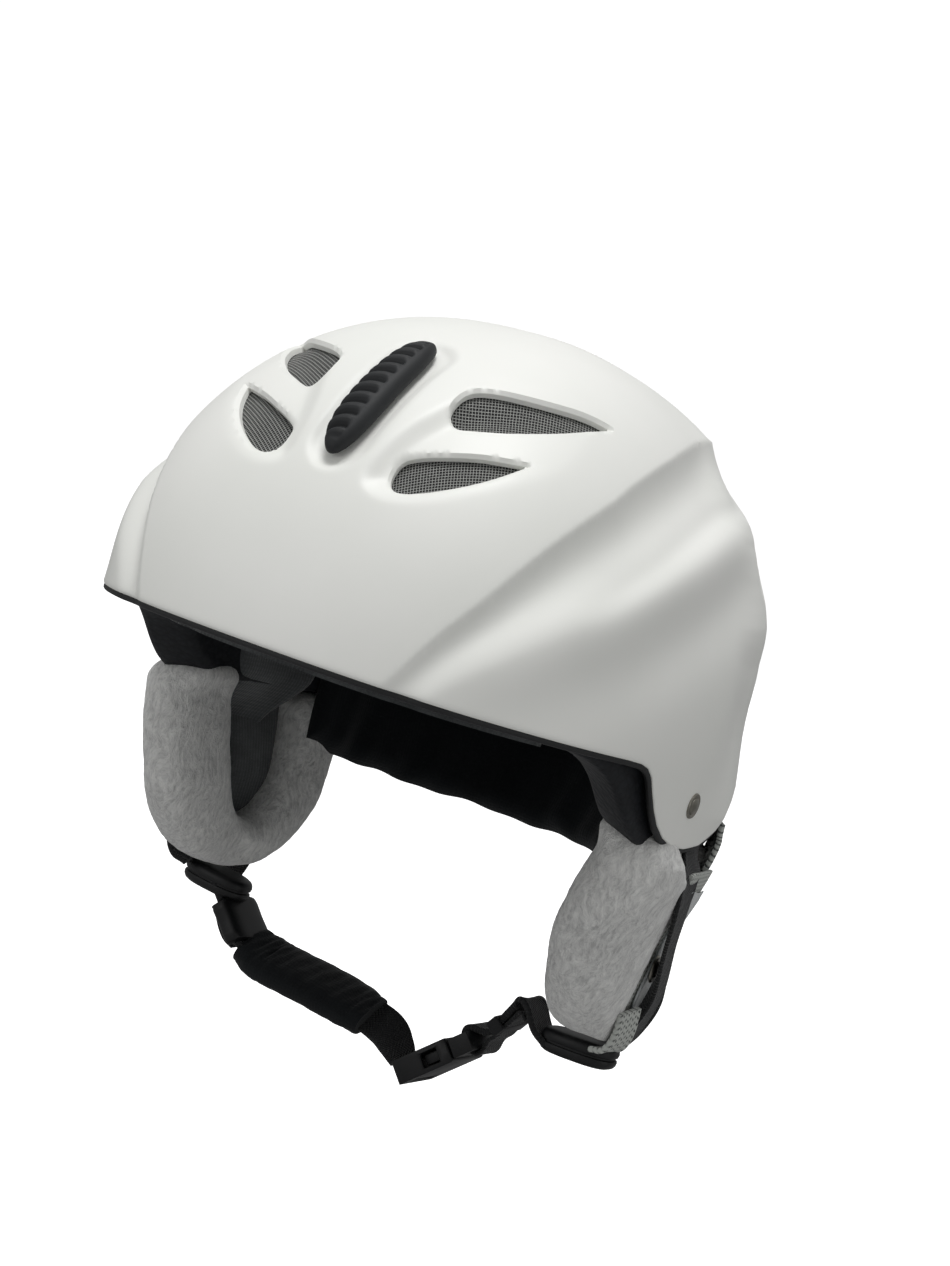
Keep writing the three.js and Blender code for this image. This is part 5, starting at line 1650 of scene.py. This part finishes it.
CHIN_RIGHT_ACROSS = [(0.05, 0.95, 0.3), (0.1, 0.93, 0.36), (0.1, 0.93, 0.36),
                     (0.15, 0.88, 0.45), (0.35, 0.8, 0.5), (0.25, 0.93, 0.25), ALONG_Y]
SLEEVE = [(-60.8, 25.2, -122.6), (-52, 25.9, -125.2), (-44, 26.3, -126),
          (-28, 27.3, -126.9), (-13, 28.4, -128.5), (-3.4, 29, -130.1)]


def chin_tape(name, body, points, section, steps, *nodes, across=None):
    ob = sweep(name, points, across or [ALONG_Y] * len(points), section, WEBBING, steps)
    own(ob, body, "webbing_black", *nodes)


def strap_adjuster():
    centre, axis = np.array([-68.0, 24.8, -115.8]), np.array([0.722, 0, -0.692])
    points = [centre + axis * reach for reach in (-8.8, -8.0, -5.6, 0, 5.6, 8.0, 8.8)]
    return sweep("strap_adjuster_slider", points, [ALONG_Y] * 7,
                 superellipse(12.4, 4.3, 40, 4.0), ACETAL, steps=6,
                 scale=[0.62, 0.93, 1, 0.97, 1, 0.93, 0.62])


def chin_sleeve():
    """Soft sleeve round the right chin tape, gathered, with a seam near each edge."""
    across, steps = [(0.1, 0.93, 0.36)] * 6, 14
    ob = sweep("chin_sleeve_fabric", SLEEVE, across, superellipse(12.8, 5.2, 40, 2.8), LINING,
               steps, scale=[0.80, 0.97, 1, 1, 1, 1, 0.95, 0.82])
    path, wide, normal = sweep_frame(SLEEVE, across, steps)
    positions = get_positions(ob.data) * 1000
    positions[:, 2] += DROP
    nearest = ((positions[:, None] - path[None]) ** 2).sum(-1).argmin(1)
    offset = positions - path[nearest]
    aside = (offset * wide[nearest]).sum(1)
    through = (offset * normal[nearest]).sum(1)
    part = nearest / len(path)
    gathers = (0.55 * np.sin(part * 44 + aside * 0.22)
               + 0.35 * np.sin(part * 83 - aside * 0.3 + 1.0))
    gathers = gathers * np.clip(1 - np.abs(aside) / 13, 0.15, 1)
    seam = np.exp(-((np.abs(aside) - 10.2) / 0.8) ** 2)
    relief = np.sign(through) * (gathers - 0.5 * seam)
    set_positions(ob.data, to_frame(positions + normal[nearest] * relief[:, None]))
    inflate(ob, pressure=2.0, frames=12, reach=0.0012)
    return ob


chin_tape("chin_tape_left", "chin_left", CHIN_LEFT, tape(15.4, 2.2), 10, "chin_webbing_left")
chin_tape("chin_tape_left_return", "chin_left", CHIN_LEFT_RETURN, tape(14.4, 1.3), 8)
own(bevelled("strap_keeper", 0.7, WEBBING), "chin_left", "webbing_black", "strap_keeper")
own(strap_adjuster(), "right_flap", "buckle_black", "strap_adjuster_right")
chin_tape("chin_tape_hanger", "right_flap", HANGER, tape(18, 2.4), 8)
chin_tape("chin_tape_return", "right_flap", HANGER_RETURN, tape(17, 2.0), 8)
chin_tape("chin_tape_right", "chin_right", CHIN_RIGHT, tape(17, 2.0), 10,
          "chin_webbing_right", across=CHIN_RIGHT_ACROSS)
own(chin_sleeve(), "chin_right", "webbing_black", "chin_sleeve")

# ------------------------------------------------------------------ buckle and retainer
# CAD node, bevel width (mm), bevel segments, material, body, slot
HARD_PIECES = (
    ("buckle_female", 0.9, 3, ACETAL, "chin_right", "buckle_black"),
    ("buckle_male", 0.8, 3, ACETAL, "chin_left", "buckle_black"),
    ("buckle_latch_rear", 0.4, 2, ACETAL, "latch_rear", "buckle_black"),
    ("buckle_latch_front", 0.4, 2, ACETAL, "latch_front", "buckle_black"),
    ("retainer_base", 0.4, 2, ACETAL, "helmet", "buckle_black"),
    ("retainer_strap", 0.5, 3, RUBBER, "retainer", "rubber_black"))
# (radius, height) from the middle of the cap to the middle of its back
RETAINER_SNAP_PROFILE = [(0.8, 1.75), (3.0, 1.6), (4.2, 1.15), (4.9, 0.5), (5.0, 0.15),
                         (3.2, 0.05), (3.1, -1.9), (1.0, -2.0)]

for node, width, segments, material, body, slot in HARD_PIECES:
    own(bevelled(node, width, material, segments), body, slot, node)
own(revolve("retainer_snap_cap", (0, 144.4, 15.5), (0, 1, 0), RETAINER_SNAP_PROFILE, STEEL),
    "retainer", "rivet_steel", "retainer_snap")

# ------------------------------------------------------------------ materials of the CAD nodes
NODE_MATERIALS = (
    (FOAM, ("eps_liner",)),
    (TRIM, ("edge_trim",)),
    (STEEL, ("strap_rivet_left", "strap_rivet_right", "ear_snap_left", "ear_snap_right",
             "retainer_snap")),
    (CARRIER, ("slider_carrier", "vent_shutter")),
    (RUBBER, ("retainer_strap", "vent_slider")),
    (ACETAL, ("retainer_base", "buckle_female", "buckle_male", "buckle_latch_rear",
              "buckle_latch_front")))


def node_material(name):
    for material, names in NODE_MATERIALS:
        if name in names:
            return material
    if "cushion" in name or ("lining" in name and "ear" in name):
        return PLUSH
    return STEEL if "screen" in name else LINING


for name, ob in NODES.items():
    ob.data.materials.clear()
    ob.data.materials.append(node_material(name))

# ------------------------------------------------------------------ floor and world
FLOOR_HALF, FLOOR_GAP = 30, 0.10  # metres; the gap is below the CAD pieces


def build_floor():
    """Floor that the camera sees bright and other rays see as dull grey."""
    z = CAD_BOX[0].z - FLOOR_GAP
    mesh = bpy.data.meshes.new("floor")
    corners = [(x * FLOOR_HALF, y * FLOOR_HALF, z)
               for x, y in ((-1, -1), (1, -1), (1, 1), (-1, 1))]
    mesh.from_pydata(corners, [], [(0, 1, 2, 3)])
    floor = link_object("floor", mesh)
    graph = MaterialGraph("pale_floor")
    bright = graph.add("BsdfPrincipled", {
        "Base Color": (0.9, 0.9, 0.9, 1), "Roughness": 0.9,
        "Emission Color": (1, 1, 1, 1), "Emission Strength": 0.85})
    dull = graph.add("BsdfDiffuse", {"Color": (0.42, 0.42, 0.42, 1)})
    mesh.materials.append(graph.output(
        graph.mix_shaders(graph.camera_ray(), dull.outputs[0], bright.outputs[0])))


def build_world():
    """White behind the helmet; the light itself brightens from below to above."""
    world = bpy.data.worlds.new("studio")
    bpy.context.scene.world = world
    world.use_nodes = True
    graph = NodeGraph(world.node_tree)
    # Background inputs: 0 colour, 1 strength
    seen = graph.add("Background", {0: (1, 1, 1, 1), 1: 1.05})
    direction = graph.add("TexCoord").outputs["Generated"]
    upward = graph.add("SeparateXYZ", {0: direction}).outputs[2]
    height = graph.math("MULTIPLY_ADD", upward, 0.5, 0.5)
    sky = graph.ramp(height, (0.35, (0.55, 0.56, 0.56, 1)), (0.95, (1.0, 1.0, 1.0, 1)))
    light = graph.add("Background", {0: sky, 1: 0.50})
    mixed = graph.mix_shaders(graph.camera_ray(), light.outputs[0], seen.outputs[0])
    graph.add("OutputWorld", {0: mixed})


build_floor()
build_world()

# ------------------------------------------------------------------ camera and lights
AZIMUTH, ELEVATION, ROLL = 27.13 * RAD, 1.58 * RAD, 17.87 * RAD
CAMERA_TARGET = np.array([3.39, 0, 20.35])
CAMERA_DISTANCE = 714.26
SENSOR_WIDTH, LENS = 36, 56.489573

VIEW_BACK = np.array([math.sin(AZIMUTH) * math.cos(ELEVATION),
                      -math.cos(AZIMUTH) * math.cos(ELEVATION), math.sin(ELEVATION)])
LEVEL_RIGHT = np.array([math.cos(AZIMUTH), math.sin(AZIMUTH), 0])
LEVEL_UP = np.cross(VIEW_BACK, LEVEL_RIGHT)
VIEW_RIGHT = LEVEL_RIGHT * math.cos(ROLL) + LEVEL_UP * math.sin(ROLL)
VIEW_UP = -LEVEL_RIGHT * math.sin(ROLL) + LEVEL_UP * math.cos(ROLL)

# name, direction from the camera's target (right, up, back in the view), distance,
# aim point, disk size (all metres), power (watts)
LIGHTS = (("key_top", (0.12, 1.0, 0.30), 1.5, (0, 0, -0.05), 0.7, 13),
          ("front_fill", (-0.8, 0.35, 0.55), 1.8, (0, 0, -0.08), 0.9, 2.6),
          ("low_fill", (-0.25, -0.5, 0.85), 1.7, (0.04, 0, -0.14), 0.9, 3.2),
          ("side_fill", (0.75, -0.35, 0.8), 1.5, (0.06, 0, -0.14), 0.8, 1.5))


def build_camera():
    data = bpy.data.cameras.new("camera")
    camera = link_object("camera", data)
    data.sensor_width = SENSOR_WIDTH
    data.lens = LENS
    data.clip_start = 0.01
    data.clip_end = 100
    position = to_frame(CAMERA_TARGET + VIEW_BACK * CAMERA_DISTANCE)
    matrix = Matrix.Identity(4)
    for column, vector in enumerate((VIEW_RIGHT, VIEW_UP, VIEW_BACK, position)):
        for row in range(3):
            matrix[row][column] = vector[row]
    camera.matrix_world = matrix
    bpy.context.scene.camera = camera


def area_light(name, direction, distance, aim, size, power):
    data = bpy.data.lights.new(name, "AREA")
    data.shape = "DISK"
    data.size = size
    data.energy = power
    ob = link_object(name, data)
    right, up, back = direction
    offset = VIEW_RIGHT * right + VIEW_UP * up + VIEW_BACK * back
    offset = offset / np.linalg.norm(offset) * distance
    position = Vector(tuple(to_frame(CAMERA_TARGET) + offset))
    ob.location = position
    ob.rotation_mode = "QUATERNION"
    ob.rotation_quaternion = (Vector(aim) - position).to_track_quat("-Z", "Y")


build_camera()
for light in LIGHTS:
    area_light(*light)
bpy.context.scene.view_settings.view_transform = "Standard"
